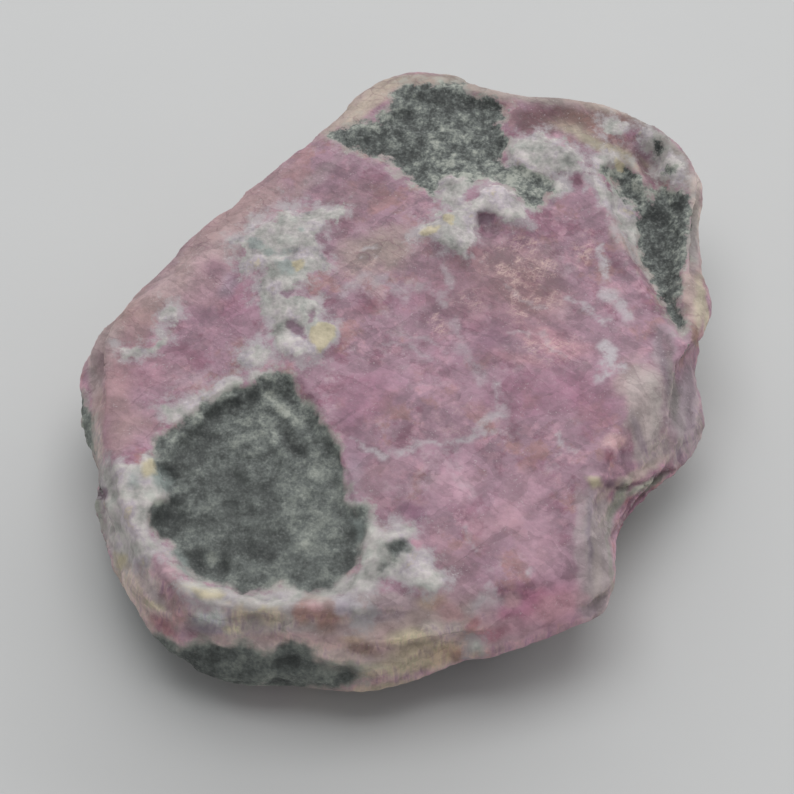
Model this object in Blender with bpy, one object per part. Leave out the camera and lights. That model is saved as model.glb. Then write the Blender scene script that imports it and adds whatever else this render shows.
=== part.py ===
"""A raw ruby crystal: one worn, tabular, roughly six-sided crystal of corundum, with hollows where
dark mica has weathered back, raised lumps of pale crust, and a lower shelf behind its right edge.

The stone rests on its flat lower basal face. The origin is under the middle of its bounding box,
X runs across it, Y along its longer side and Z up. Sizes below are millimetres.
"""

import math

import bmesh
import bpy
import numpy as np
from mathutils import Matrix, Vector, noise

MM = 0.001

# ---- The body: four outlines round the stone, anticlockwise from above, as (x, y, height) ----

# where the flat top ends
TOP_EDGE = [
    (16.3, 0.2, 8.1), (16.9, 1.8, 7.8), (16.8, 3.8, 7.7), (16.5, 6.4, 7.7), (16.8, 9.6, 7.9),
    (16.9, 12.0, 8.2), (16.1, 13.7, 8.5), (14.8, 15.3, 8.8), (13.3, 16.2, 9.0), (10.2, 17.1, 9.1),
    (7.2, 17.3, 9.2), (4.3, 17.9, 9.2), (2.1, 18.4, 9.2), (0.3, 18.2, 9.2), (-1.3, 17.0, 9.1),
    (-4.2, 13.8, 9.0), (-8.0, 9.8, 8.9), (-12.1, 5.5, 8.6), (-15.6, 2.0, 8.2), (-16.5, 0.0, 8.0),
    (-16.3, -4.0, 8.1), (-15.6, -8.0, 8.1), (-14.4, -12.0, 8.0), (-12.6, -15.2, 7.9),
    (-10.2, -16.7, 8.0), (-6.8, -17.0, 8.1), (-3.2, -16.9, 8.1), (0.4, -16.5, 7.9),
    (3.6, -15.8, 7.7), (6.4, -14.9, 7.5), (8.6, -13.9, 7.3), (9.5, -12.4, 7.5), (9.9, -10.8, 8.0),
    (10.6, -9.2, 8.3), (11.7, -7.1, 8.5), (12.4, -5.6, 8.6), (13.0, -3.6, 8.7), (14.8, -1.6, 8.6),
]
# halfway down the slope between the top and the widest line
SHOULDER = [
    (16.6, -0.2, 6.6), (16.7, 0.9, 6.4), (17.6, 2.5, 6.5), (16.9, 5.2, 6.9), (16.8, 8.0, 7.2),
    (17.4, 10.6, 7.5), (17.6, 12.8, 7.8), (16.6, 14.4, 8.0), (14.9, 15.7, 8.2), (13.5, 16.6, 8.3),
    (10.1, 17.5, 8.4), (7.2, 17.7, 8.5), (4.3, 18.5, 8.5), (2.0, 19.4, 8.5), (-0.4, 19.4, 8.5),
    (-1.9, 17.7, 8.5), (-5.1, 14.7, 8.4), (-9.0, 10.7, 8.2), (-12.7, 6.0, 7.7), (-16.5, 2.3, 7.2),
    (-17.2, 0.0, 6.8), (-17.0, -4.0, 6.6), (-16.3, -8.0, 6.4), (-15.1, -12.0, 6.3),
    (-13.1, -15.5, 6.2), (-10.7, -17.4, 6.2), (-7.2, -18.1, 6.2), (-3.4, -18.2, 6.2),
    (0.0, -17.8, 6.1), (3.2, -16.9, 6.2), (6.2, -16.0, 6.3), (9.2, -15.0, 6.5), (11.0, -13.6, 6.8),
    (11.3, -11.6, 6.9), (11.6, -10.0, 6.6), (12.5, -8.6, 6.2), (13.8, -7.0, 6.0),
    (15.1, -5.6, 6.1), (15.7, -3.4, 6.6), (15.9, -1.6, 6.8),
]
# the widest line
WIDEST = [
    (16.9, -0.2, 4.2), (16.1, 1.4, 4.5), (18.0, 3.2, 4.8), (17.4, 5.3, 5.0), (16.6, 7.8, 5.6),
    (17.9, 10.4, 6.0), (18.1, 12.6, 6.4), (16.9, 14.0, 6.8), (15.4, 15.6, 7.0), (14.0, 16.7, 7.2),
    (12.3, 17.2, 7.4), (10.1, 17.9, 7.5), (7.2, 18.1, 7.6), (4.3, 18.9, 7.7), (2.0, 19.8, 7.7),
    (-0.6, 19.9, 7.7), (-2.1, 18.1, 7.7), (-5.4, 15.0, 7.6), (-7.1, 12.5, 7.5), (-9.4, 10.9, 7.4),
    (-11.2, 8.5, 7.2), (-14.7, 4.8, 6.5), (-16.6, 3.2, 6.0), (-18.4, 1.8, 5.5), (-17.8, 0.0, 5.0),
    (-17.3, -1.9, 4.7), (-17.5, -4.2, 4.3), (-17.1, -8.0, 3.7), (-16.0, -10.4, 3.4),
    (-15.0, -12.4, 3.2), (-14.5, -14.6, 3.1), (-13.6, -16.6, 2.9), (-11.1, -17.9, 2.9),
    (-8.2, -18.8, 3.0), (-5.2, -19.1, 3.1), (-2.5, -19.6, 3.3), (0.0, -19.2, 3.5),
    (2.4, -18.5, 3.8), (4.7, -17.1, 4.2), (7.6, -16.8, 4.7), (10.2, -15.7, 5.1), (12.1, -15.2, 5.2),
    (12.4, -13.4, 5.2), (12.2, -11.2, 4.8), (12.6, -8.9, 3.9), (13.1, -7.0, 3.4), (14.7, -5.5, 3.4),
    (16.3, -4.1, 3.6), (17.1, -2.5, 3.8),
]
# the foot, on the ground
FOOT = [
    (14.6, 0.5), (15.1, 4.0), (14.8, 8.0), (14.9, 11.6), (13.4, 14.6), (9.6, 16.2), (4.0, 17.0),
    (0.2, 17.2), (-3.4, 14.2), (-7.4, 10.0), (-11.6, 5.6), (-15.2, 1.2), (-15.5, -3.0),
    (-14.6, -7.4), (-13.2, -11.6), (-11.2, -14.8), (-8.0, -16.3), (-4.0, -16.4), (0.0, -15.6),
    (4.0, -14.2), (7.4, -12.8), (8.8, -10.8), (9.6, -8.6), (11.6, -6.2), (13.6, -3.2),
]
TOP_HEIGHT = 9.2
MIDDLE_REACH = 0.3  # the first ring of the top, as a share of the way out to its edge
INNER_REACH = 0.85  # the ring just inside the edge
FOOT_DEPTH = 0.8  # material below the ground, cut away last to leave a flat face
FOOT_TAPER = 0.4  # how far the sides draw in over that depth

# ---- Relief of the top: outlines as (x, y) ----

# the shelf behind the right edge, lower than the top, where mica has weathered out
SHELF = [
    (12.6, 14.2), (12.0, 12.0), (12.3, 9.6), (12.9, 7.4), (13.6, 5.3), (14.3, 3.8), (15.2, 2.2),
    (15.8, 1.0), (15.7, 2.4), (15.5, 4.2), (15.5, 6.0), (15.5, 8.0), (15.6, 10.0), (15.4, 12.0),
    (14.8, 13.4), (14.0, 14.3),
]
SHELF_DROP = 0.9
SHELF_BANK = 1.3  # width of the slope down to it
BANK_WAVER = 0.35  # how far the line of any slope wanders
BANK_WAVER_LENGTHS = (1.6, 1.6, 50.0)

# mica that has weathered back below the ruby
LARGE_MICA = [
    (-5.4, -2.6), (-7.7, -2.9), (-9.7, -3.6), (-11.7, -5.6), (-13.2, -8.0), (-12.4, -10.4),
    (-13.4, -11.4), (-12.8, -13.0), (-10.9, -15.0), (-9.6, -16.0), (-7.2, -16.2), (-3.2, -16.2),
    (-1.9, -13.8), (-1.9, -12.1), (-2.8, -10.3), (-3.3, -7.8), (-4.3, -5.8),
]
BACK_MICA = [
    (-3.1, 13.7), (-2.0, 14.9), (-0.7, 15.3), (0.3, 16.8), (1.9, 17.9), (3.7, 17.6), (6.2, 16.0),
    (5.8, 14.4), (7.0, 11.9), (4.2, 12.3), (2.5, 11.3), (1.8, 9.7), (-0.3, 12.2),
]
HOLLOWS = [(LARGE_MICA, 0.50, 0.5), (BACK_MICA, 0.25, 0.6)]  # outline, depth, width of the bank

# crust that stands above the ruby
STAR_CRUST = [
    (-9.3, 6.6), (-8.1, 8.1), (-6.8, 8.6), (-2.9, 8.9), (-4.4, 7.4), (-4.7, 3.9), (-4.6, 1.0),
    (-3.6, -1.0), (-5.9, -1.4), (-6.6, 0.8), (-7.3, 3.5), (-7.5, 5.1),
]
BOOMERANG_CRUST = [
    (5.6, 11.0), (3.8, 9.4), (1.0, 7.2), (2.2, 6.3), (3.4, 5.4), (4.2, 6.3), (4.7, 8.0),
    (7.4, 8.1), (7.0, 9.8),
]
BACK_CRUST = [(6.4, 13.0), (7.8, 14.0), (9.4, 13.4), (10.6, 12.0), (10.2, 11.3), (7.0, 11.7)]
FRONT_CRUST = [
    (-1.4, -12.4), (1.2, -12.1), (1.4, -13.6), (2.8, -14.8), (2.0, -16.0), (-0.6, -16.0), (-1.6, -14.2),
]
LEFT_CRUST = [
    (-16.4, -8.0), (-14.6, -6.6), (-13.2, -7.6), (-12.6, -9.4), (-13.6, -11.4), (-14.2, -13.6),
    (-15.4, -12.0),
]
CRUSTS = [  # outline, height, width of the bank
    (STAR_CRUST, 0.30, 0.8),
    (BOOMERANG_CRUST, 0.45, 0.8),
    (BACK_CRUST, 0.35, 0.8),
    (FRONT_CRUST, 0.35, 0.8),
    (LEFT_CRUST, 0.30, 1.0),
]

# a pit, dish or ridge fades out at this many times its own radius or half width
PIT_FADE = 1.5
DISH_FADE = 1.2
RIDGE_FADE = 1.2

PITS = [  # x, y, radius, depth
    (4.9, 8.0, 0.7, 0.55),
    (14.6, 13.6, 0.7, 0.60),
    (-4.6, 3.1, 0.5, 0.35),
    (-10.0, -14.0, 0.8, 0.30),
    (11.6, -9.4, 0.8, 0.70),
    (-12.6, -10.4, 0.7, 0.35),
    (-12.1, -6.1, 0.6, 0.25),
    (13.6, 0.9, 0.6, 0.20),
]
DISHES = [  # broad, shallow: x, y, half length, half width, bearing of the length, depth
    (1.5, 2.0, 6.5, 3.2, 35.0, 0.30),
    (8.2, 3.2, 4.2, 2.6, 110.0, 0.22),
    (-10.2, 2.6, 4.4, 2.4, 40.0, 0.25),
    (5.4, -6.6, 5.2, 2.4, 60.0, 0.26),
    (-4.4, 10.8, 3.0, 1.6, 50.0, 0.20),
    (9.8, 15.6, 2.6, 1.2, 0.0, 0.22),
]
RIDGES = [  # a raised line: its points, half width, height
    ([(12.2, 8.6), (12.9, 6.4), (13.8, 4.4), (14.9, 2.4), (15.6, 0.6)], 0.6, 0.22),
    ([(13.0, 14.0), (13.6, 12.4), (14.5, 10.6)], 0.5, 0.45),
]

# ---- Roughness: noise, and broken faces on the sides ----

SWELL_LENGTH = 7.0
SWELL_HEIGHT = 0.16
GRAIN_LENGTH = 1.7
GRAIN_HEIGHT = 0.09
MICA_GRAIN_LENGTH = 0.9
MICA_GRAIN_HEIGHT = 0.16
FACET_SIZE = (4.6, 4.6, 1.9)  # broken faces on the sides: long and low, as the parting leaves them
FACET_DEPTH = 0.34
FACET_TILT = 0.45
FACET_WEAR = 0.16  # share of a face over which its edge is worn round
SIDE_LUMP_LENGTH = 5.0
SIDE_LUMP_DEPTH = 0.35
FLAKE_AT = (13.4, -7.8)  # the corner on the right, where a flake stands over a split
FLAKE_REACH = 3.4
FLAKE_HEIGHT = 5.6
FLAKE_STANDS_OUT = 0.5
SPLIT_HEIGHT = 4.5
SPLIT_DEPTH = 1.2
SPLIT_WIDTH = 0.6
SPLIT_FADE = 1.3  # the split and its flake end at this many times that width
FLAKE_FADE = 1.4  # steepness of their ends, round the corner

# where the noise of each kind is read
WAVER_SEED = 3.7
SWELL_SEED = 11.0
GRAIN_SEED = 23.0
MICA_SEED = 41.0
FACET_SEED = 57.0
SIDE_LUMP_SEED = 71.0
FACET_TILT_SEED = 17.3
FACET_STEP_SEED = 31.7

# how upright a surface's normal is where it starts to take the relief of the top, and where it
# stops taking that of the sides, and how gradually
TOP_STARTS = 0.25
TOP_BLEND = 0.5
SIDE_STOPS = 0.9
SIDE_BLEND = 0.45

# ---- Finish ----

RUBY_COLOUR = (0.33, 0.18, 0.24, 1.0)
RUBY_ROUGHNESS = 0.55
SHARP_EDGE = 40.0  # degrees between two faces that leave a crisp edge

# ---- Fineness of the mesh ----

COLUMNS = 160
STEPS_BETWEEN = 5
VOXEL = 0.42
TRIANGLES = 9000
CORNER_ROUNDING = 2  # columns either side that an outline is averaged over


def ray_reach(outline, bearing):
    """How far from the axis, and how high, a closed outline is at a bearing in radians."""
    direction = np.array([math.cos(bearing), math.sin(bearing)])
    across = np.array([-direction[1], direction[0]])
    points = np.array(outline, float)
    ends = np.roll(points, -1, axis=0)
    best = (0.0, 0.0)
    for start, end in zip(points, ends):
        side_start, side_end = start[:2] @ across, end[:2] @ across
        if (side_start > 0) == (side_end > 0):
            continue
        share = side_start / (side_start - side_end)
        crossing = start + share * (end - start)
        reach = crossing[:2] @ direction
        if reach > best[0]:
            best = (reach, crossing[2])
    return best


def ring_of(outline):
    """An outline as reach and height at every column, with its corners slightly worn."""
    bearings = np.linspace(0, math.tau, COLUMNS, endpoint=False)
    ring = np.array([ray_reach(outline, bearing) for bearing in bearings])
    shifts = range(-CORNER_ROUNDING, CORNER_ROUNDING + 1)
    return sum(np.roll(ring, shift, axis=0) for shift in shifts) / len(shifts)


def spline(before, start, end, after, share):
    """A Catmull-Rom curve between start and end."""
    return 0.5 * (
        2 * start
        + (end - before) * share
        + (2 * before - 5 * start + 4 * end - after) * share**2
        + (3 * start - before - 3 * end + after) * share**3
    )


def body_rings():
    """Rings from the middle of the top, over the edge and down to below the foot."""
    edge = ring_of(TOP_EDGE)
    foot = ring_of([(x, y, 0.0) for x, y in FOOT])
    top = np.column_stack([np.zeros(COLUMNS), np.full(COLUMNS, TOP_HEIGHT)])
    middle = np.column_stack([edge[:, 0] * MIDDLE_REACH, top[:, 1]])
    inner = top + (edge - top) * INNER_REACH
    below = foot - (FOOT_TAPER, FOOT_DEPTH)
    stations = [middle, inner, edge, ring_of(SHOULDER), ring_of(WIDEST), foot, below]
    rings = [middle]
    for i in range(1, len(stations) - 1):
        before = stations[i - 1]
        after = stations[min(i + 2, len(stations) - 1)]
        for step in range(STEPS_BETWEEN):
            share = step / STEPS_BETWEEN
            rings.append(spline(before, stations[i], stations[i + 1], after, share))
    rings.append(below)
    return rings


def body_mesh():
    """The rings bridged into one closed skin."""
    shape = bmesh.new()
    bearings = np.linspace(0, math.tau, COLUMNS, endpoint=False)
    loops = []
    for ring in body_rings():
        vertices = [
            shape.verts.new((reach * math.cos(b) * MM, reach * math.sin(b) * MM, height * MM))
            for b, (reach, height) in zip(bearings, ring)
        ]
        pairs = zip(vertices, vertices[1:] + vertices[:1])
        loops.append([shape.edges.new(pair) for pair in pairs])
    for upper, lower in zip(loops, loops[1:]):
        bmesh.ops.bridge_loops(shape, edges=upper + lower)
    for loop in (loops[0], loops[-1]):
        bmesh.ops.contextual_create(shape, geom=loop)
    bmesh.ops.triangulate(shape, faces=[face for face in shape.faces if len(face.verts) > 4])
    bmesh.ops.recalc_face_normals(shape, faces=shape.faces)
    mesh = bpy.data.meshes.new("ruby_crystal")
    shape.to_mesh(mesh)
    shape.free()
    return mesh


def applied(obj):
    """Replaces an object's mesh with its evaluated one and clears its modifiers."""
    graph = bpy.context.evaluated_depsgraph_get()
    mesh = bpy.data.meshes.new_from_object(obj.evaluated_get(graph))
    old = obj.data
    obj.modifiers.clear()
    obj.data = mesh
    bpy.data.meshes.remove(old)


def smooth_step(value):
    value = np.clip(value, 0.0, 1.0)
    return value * value * (3 - 2 * value)


def distance_to_line(points, line):
    """Distance in plan from each point to a line through several corners."""
    nearest = np.full(len(points), np.inf)
    for start, end in zip(line[:-1], line[1:]):
        run = end - start
        share = np.clip((points - start) @ run / (run @ run), 0.0, 1.0)
        gap = np.linalg.norm(points - start - share[:, None] * run, axis=1)
        nearest = np.minimum(nearest, gap)
    return nearest


def depth_inside(points, outline):
    """Distance in plan from a closed outline, positive inside it."""
    corners = np.array(outline, float)
    closed = np.vstack([corners, corners[:1]])
    inside = np.zeros(len(points), bool)
    for (ax, ay), (bx, by) in zip(closed[:-1], closed[1:]):
        spans = (ay > points[:, 1]) != (by > points[:, 1])
        crossing = ax + (points[:, 1] - ay) * (bx - ax) / ((by - ay) or 1e-9)
        inside ^= spans & (points[:, 0] < crossing)
    gap = distance_to_line(points, closed)
    return np.where(inside, gap, -gap)


def noise_at(points, lengths, seed):
    """Smooth noise, about -1 to 1, with its own wavelength along each axis."""
    scaled = points / np.array(lengths) + seed
    return np.array([noise.noise(Vector(point)) for point in scaled])


def bank(points, outline, width):
    """1 inside an outline and 0 outside, over a slope of the given width with a wavering line."""
    waver = BANK_WAVER * noise_at(points, BANK_WAVER_LENGTHS, WAVER_SEED)
    return smooth_step((depth_inside(points[:, :2], outline) + waver) / width + 0.5)


def top_relief(points):
    """How far each point of the top moves up."""
    rise = SWELL_HEIGHT * noise_at(points, (SWELL_LENGTH,) * 3, SWELL_SEED)
    rise += GRAIN_HEIGHT * noise_at(points, (GRAIN_LENGTH,) * 3, GRAIN_SEED)
    plan = points[:, :2]
    rise -= SHELF_DROP * bank(points, SHELF, SHELF_BANK)
    mica_grain = MICA_GRAIN_HEIGHT * noise_at(points, (MICA_GRAIN_LENGTH,) * 3, MICA_SEED)
    for outline, depth, width in HOLLOWS:
        rise += bank(points, outline, width) * (mica_grain - depth)
    for outline, height, width in CRUSTS:
        rise += bank(points, outline, width) * (height + mica_grain)
    for x, y, radius, depth in PITS:
        away = np.linalg.norm(plan - (x, y), axis=1)
        rise -= depth * smooth_step(PIT_FADE - away / radius)
    for x, y, half_length, half_width, bearing, depth in DISHES:
        turn = math.radians(bearing)
        along = (plan - (x, y)) @ (math.cos(turn), math.sin(turn)) / half_length
        across = (plan - (x, y)) @ (-math.sin(turn), math.cos(turn)) / half_width
        rise -= depth * smooth_step(DISH_FADE - np.hypot(along, across))
    for line, half_width, height in RIDGES:
        away = distance_to_line(plan, np.array(line))
        rise += height * smooth_step(RIDGE_FADE - away / half_width)
    return rise


def broken_faces(points):
    """Small flat faces in a jumble, each set in or out and tilted a little, with worn edges."""
    found = []
    for point in points / np.array(FACET_SIZE) + FACET_SEED:
        gaps, centres = noise.voronoi(Vector(point))
        levels = []
        for middle in centres[:2]:
            tilt = noise.cell_vector(middle * FACET_TILT_SEED) * 2 - Vector((1, 1, 1))
            step = noise.cell(middle * FACET_STEP_SEED) * 2 - 1
            levels.append(step + FACET_TILT * tilt.dot(Vector(point) - middle) * 2)
        own = 0.5 + 0.5 * min((gaps[1] - gaps[0]) / FACET_WEAR, 1.0)
        found.append(levels[0] * own + levels[1] * (1 - own))
    return np.array(found)


def side_relief(points):
    """How far each point of the sides moves out: broken faces, lumps and one open split."""
    out = FACET_DEPTH * broken_faces(points)
    out += SIDE_LUMP_DEPTH * noise_at(points, (SIDE_LUMP_LENGTH,) * 3, SIDE_LUMP_SEED)
    away = np.linalg.norm(points[:, :2] - FLAKE_AT, axis=1)
    near = smooth_step(FLAKE_FADE * (1 - away / FLAKE_REACH))
    flake = smooth_step(SPLIT_FADE - np.abs(points[:, 2] - FLAKE_HEIGHT) / SPLIT_WIDTH)
    split = smooth_step(SPLIT_FADE - np.abs(points[:, 2] - SPLIT_HEIGHT) / SPLIT_WIDTH)
    return out + near * (FLAKE_STANDS_OUT * flake - SPLIT_DEPTH * split)


def carve(mesh):
    """Moves every point of the fine mesh by the relief of the side that it is on."""
    count = len(mesh.vertices)
    points = np.empty(count * 3)
    normals = np.empty(count * 3)
    mesh.vertices.foreach_get("co", points)
    mesh.vertex_normals.foreach_get("vector", normals)
    points = points.reshape(-1, 3) / MM
    normals = normals.reshape(-1, 3)
    on_top = smooth_step((normals[:, 2] - TOP_STARTS) / TOP_BLEND)
    on_side = smooth_step((SIDE_STOPS - np.abs(normals[:, 2])) / SIDE_BLEND)
    outward = normals[:, :2]
    outward /= np.maximum(np.linalg.norm(outward, axis=1), 1e-6)[:, None]
    moved = points.copy()
    moved[:, 2] += on_top * top_relief(points)
    moved[:, :2] += outward * (on_side * side_relief(points))[:, None]
    mesh.vertices.foreach_set("co", (moved * MM).ravel())
    mesh.update()


def cut_flat_foot(mesh):
    """Cuts the body off at the ground, which leaves one flat face to rest on."""
    shape = bmesh.new()
    shape.from_mesh(mesh)
    everything = shape.verts[:] + shape.edges[:] + shape.faces[:]
    cut = bmesh.ops.bisect_plane(
        shape, geom=everything, plane_co=(0, 0, 0), plane_no=(0, 0, -1), clear_outer=True
    )
    rim = [item for item in cut["geom_cut"] if isinstance(item, bmesh.types.BMEdge)]
    bmesh.ops.contextual_create(shape, geom=rim)
    bmesh.ops.triangulate(shape, faces=shape.faces[:])
    shape.to_mesh(mesh)
    shape.free()


def centre(mesh):
    """Moves the mesh so that its bounding box stands centred over the origin."""
    corners = np.array([vertex.co for vertex in mesh.vertices])
    middle = (corners.min(axis=0) + corners.max(axis=0)) / 2
    mesh.transform(Matrix.Translation((-middle[0], -middle[1], 0)))


def ruby_material():
    material = bpy.data.materials.new("ruby in the rough")
    material.use_nodes = True
    shader = material.node_tree.nodes["Principled BSDF"]
    shader.inputs["Base Color"].default_value = RUBY_COLOUR
    shader.inputs["Roughness"].default_value = RUBY_ROUGHNESS
    shader.inputs["Metallic"].default_value = 0.0
    return material


def main():
    for obj in list(bpy.data.objects):
        bpy.data.objects.remove(obj)
    stone = bpy.data.objects.new("ruby_crystal", body_mesh())
    bpy.context.scene.collection.objects.link(stone)
    remesh = stone.modifiers.new("Even skin", "REMESH")
    remesh.mode = "VOXEL"
    remesh.voxel_size = VOXEL * MM
    applied(stone)
    carve(stone.data)
    decimate = stone.modifiers.new("Fewer faces", "DECIMATE")
    stone.data.calc_loop_triangles()
    decimate.ratio = TRIANGLES / len(stone.data.loop_triangles)
    applied(stone)
    cut_flat_foot(stone.data)
    centre(stone.data)
    stone.data.materials.append(ruby_material())
    stone.data.shade_smooth()
    stone.data.set_sharp_from_angle(angle=math.radians(SHARP_EDGE))


main()
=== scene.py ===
"""A raw ruby crystal, with its mica and crust, lying on a plain pale floor in soft light."""

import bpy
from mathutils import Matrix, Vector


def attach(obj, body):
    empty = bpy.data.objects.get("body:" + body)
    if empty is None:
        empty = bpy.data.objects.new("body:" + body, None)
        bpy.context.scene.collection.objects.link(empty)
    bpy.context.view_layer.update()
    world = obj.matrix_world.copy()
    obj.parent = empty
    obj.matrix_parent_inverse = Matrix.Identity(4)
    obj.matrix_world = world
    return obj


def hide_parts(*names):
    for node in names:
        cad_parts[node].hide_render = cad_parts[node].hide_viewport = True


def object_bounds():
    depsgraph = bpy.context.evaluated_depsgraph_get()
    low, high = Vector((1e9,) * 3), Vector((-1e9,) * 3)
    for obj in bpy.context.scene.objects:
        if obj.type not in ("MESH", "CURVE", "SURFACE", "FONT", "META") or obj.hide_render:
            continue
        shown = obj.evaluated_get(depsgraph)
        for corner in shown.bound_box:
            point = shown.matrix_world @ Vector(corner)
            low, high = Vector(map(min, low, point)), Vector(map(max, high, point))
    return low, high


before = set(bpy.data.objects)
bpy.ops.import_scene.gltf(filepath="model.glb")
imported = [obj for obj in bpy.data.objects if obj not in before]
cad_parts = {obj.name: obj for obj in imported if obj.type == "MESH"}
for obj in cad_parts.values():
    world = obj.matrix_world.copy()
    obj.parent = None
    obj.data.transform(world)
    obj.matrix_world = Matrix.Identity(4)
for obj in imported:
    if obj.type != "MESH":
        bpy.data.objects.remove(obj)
CAD_BOX = [list(corner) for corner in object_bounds()]

import math

import bmesh
import bpy
import numpy as np
from bpy.props import FloatProperty, FloatVectorProperty, PointerProperty
from mathutils import Vector, noise

bl_info = {
    "name": "Raw Ruby Crystal",
    "version": (1, 0, 0),
    "blender": (4, 5, 0),
    "location": "View3D > Sidebar > Ruby",
    "description": "Builds a worn raw ruby crystal with mica and crust, and its plain stage",
    "category": "Add Mesh",
}

MM = 0.001
NODE = "ruby_crystal"

# ---- The plan of the marks ----
# Marks are laid out on one plan, square to a line of sight that comes down on the stone from the
# front. A square of the plan is 0.056 mm at AIM. Squares are counted right and down.

AIM = Vector((0.05, -1.28, 4.9)) * MM
SIGHT_RISE = math.radians(55.0)
SIGHT_LENGTH = 260.0 * MM
PLAN_SQUARE = 0.056 * MM
PLAN_MIDDLE = (397.0, 397.0)
PLAN_WIDTH = 794

# dark mica that has weathered back
LARGE_MICA = [
    (158, 443), (167, 432), (185, 417), (205, 402), (222, 392), (242, 384), (267, 377), (287, 375),
    (297, 384), (305, 400), (320, 425), (335, 442), (342, 460), (343, 480), (346, 500), (358, 513),
    (366, 524), (363, 537), (360, 552), (354, 566), (345, 577), (332, 590), (318, 590), (300, 587),
    (280, 583), (264, 590), (250, 594), (234, 590), (228, 583), (214, 582), (200, 578), (188, 574),
    (177, 560), (172, 545), (160, 540), (151, 527), (148, 513), (156, 504), (168, 499), (171, 492),
    (162, 482), (154, 474), (152, 462),
]
BACK_MICA = [
    (332, 135), (344, 128), (357, 117), (367, 121), (376, 124), (385, 119), (393, 107), (395, 93),
    (404, 85), (415, 86), (425, 81), (445, 81), (462, 87), (480, 95), (497, 101), (505, 106), (502, 114),
    (497, 122), (501, 134), (509, 143), (505, 152), (500, 160), (512, 168), (527, 170), (542, 174),
    (554, 181), (549, 193), (537, 207), (526, 205), (515, 190), (500, 182), (488, 176), (476, 181),
    (462, 178), (447, 177), (437, 184), (433, 196), (426, 191), (416, 186), (402, 172), (392, 162),
    (380, 156), (362, 151), (345, 146),
]
SHELF_MICA = [
    (664, 191), (679, 191), (687, 204), (691, 220), (689, 240), (686, 260), (680, 277), (675, 292),
    (678, 310), (684, 324), (682, 332), (675, 326), (667, 310), (657, 288), (647, 270), (640, 252),
    (637, 232), (639, 218), (633, 205), (620, 192), (606, 181), (596, 172), (603, 165), (618, 163),
    (634, 168), (645, 184), (652, 196),
]
SHELF_HOLE = [(652, 137), (660, 138), (665, 150), (661, 159), (655, 157), (652, 148)]
LOW_MICA = [
    (146, 636), (162, 638), (180, 646), (200, 643), (220, 646), (240, 643), (256, 651), (272, 656),
    (290, 641), (305, 647), (318, 658), (334, 667), (352, 670), (364, 677), (352, 686), (330, 690),
    (290, 686), (240, 690), (200, 684), (170, 664), (150, 648),
]
SIDE_MICA = [(78, 396), (84, 402), (91, 430), (95, 460), (97, 490), (104, 530), (92, 500), (82, 440)]
SHELF_DOTS = [(667, 167), (673, 168), (673, 174), (667, 174)]
MICA_ARM = [(352, 503), (364, 506), (372, 520), (372, 534), (364, 542), (361, 556), (352, 560), (356, 530)]
PLATE_MICA = [
    (384, 543), (396, 537), (408, 542), (410, 551), (400, 556), (393, 566), (382, 573), (376, 571),
    (388, 556),
]

# pale crust of feldspar and margarite that stands above the ruby
STAR_CRUST = [
    (232, 241), (245, 232), (251, 219), (260, 225), (278, 223), (276, 210), (295, 211), (315, 210),
    (344, 206), (337, 216), (327, 222), (320, 230), (315, 240), (322, 252), (331, 266), (320, 272),
    (311, 278), (305, 286), (290, 288), (279, 280), (268, 272), (255, 267), (243, 271), (240, 257),
    (243, 250),
]
STREAK_CRUST = [
    (268, 272), (281, 278), (290, 288), (282, 297), (304, 300), (317, 302), (321, 312), (318, 322),
    (336, 326), (334, 340), (320, 353), (303, 352), (298, 358), (286, 357), (274, 347), (271, 330),
    (262, 312), (256, 290),
]
STREAK_FOOT = [(238, 356), (252, 348), (268, 344), (276, 352), (264, 366), (246, 370), (237, 364)]
BOOMERANG_CRUST = [
    (476, 200), (482, 187), (490, 179), (505, 186), (517, 196), (528, 210), (524, 219), (505, 219),
    (497, 215), (485, 211), (477, 213), (477, 224), (475, 236), (467, 244), (466, 257), (454, 252),
    (442, 243), (432, 237), (413, 236), (422, 227), (436, 224), (440, 215), (452, 211), (463, 205),
]
PALE_CRUST = [
    (436, 178), (450, 172), (466, 176), (478, 175), (473, 183), (468, 196), (453, 205), (441, 200),
    (433, 192),
]
BACK_CRUST = [
    (480, 160), (487, 158), (500, 169), (508, 160), (507, 147), (520, 140), (535, 135), (555, 140),
    (570, 147), (586, 157), (580, 168), (562, 171), (554, 180), (540, 172), (522, 169), (500, 175),
    (488, 172),
]
SHELF_CRUST = [
    (586, 148), (600, 150), (620, 158), (634, 166), (620, 164), (602, 166), (598, 174), (608, 184),
    (622, 194), (634, 207), (638, 226), (636, 246), (628, 240), (612, 214), (600, 198), (590, 180),
]
CORNER_CRUST = [(602, 117), (618, 116), (626, 124), (620, 134), (606, 132)]
RIM_CRUST = [(640, 128), (650, 130), (662, 146), (676, 160), (686, 178), (684, 186), (672, 180), (656, 166)]
LEFT_CRUST = [
    (96, 476), (106, 461), (122, 465), (140, 467), (144, 460), (156, 458), (160, 474), (172, 497),
    (162, 503), (150, 511), (147, 522), (153, 537), (166, 545), (172, 556), (156, 556), (138, 566),
    (127, 564), (117, 554), (112, 540), (105, 520), (98, 502),
]
LARGE_RIM = [
    (158, 406), (180, 402), (200, 399), (220, 384), (244, 372), (266, 374), (242, 384), (222, 392),
    (205, 402), (190, 415), (175, 426), (164, 416),
]
FRONT_RIM = [
    (180, 582), (200, 584), (214, 589), (230, 592), (250, 600), (270, 596), (300, 592), (296, 600),
    (270, 606), (240, 606), (210, 604), (188, 602),
]
PLATE_CRUST = [
    (345, 502), (358, 500), (368, 518), (382, 526), (396, 526), (412, 527), (418, 530), (409, 540),
    (412, 550), (430, 552), (436, 566), (447, 577), (444, 588), (427, 590), (412, 586), (398, 580),
    (382, 582), (370, 592), (346, 594), (332, 592), (345, 578), (360, 566), (363, 540), (358, 515),
]
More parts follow.
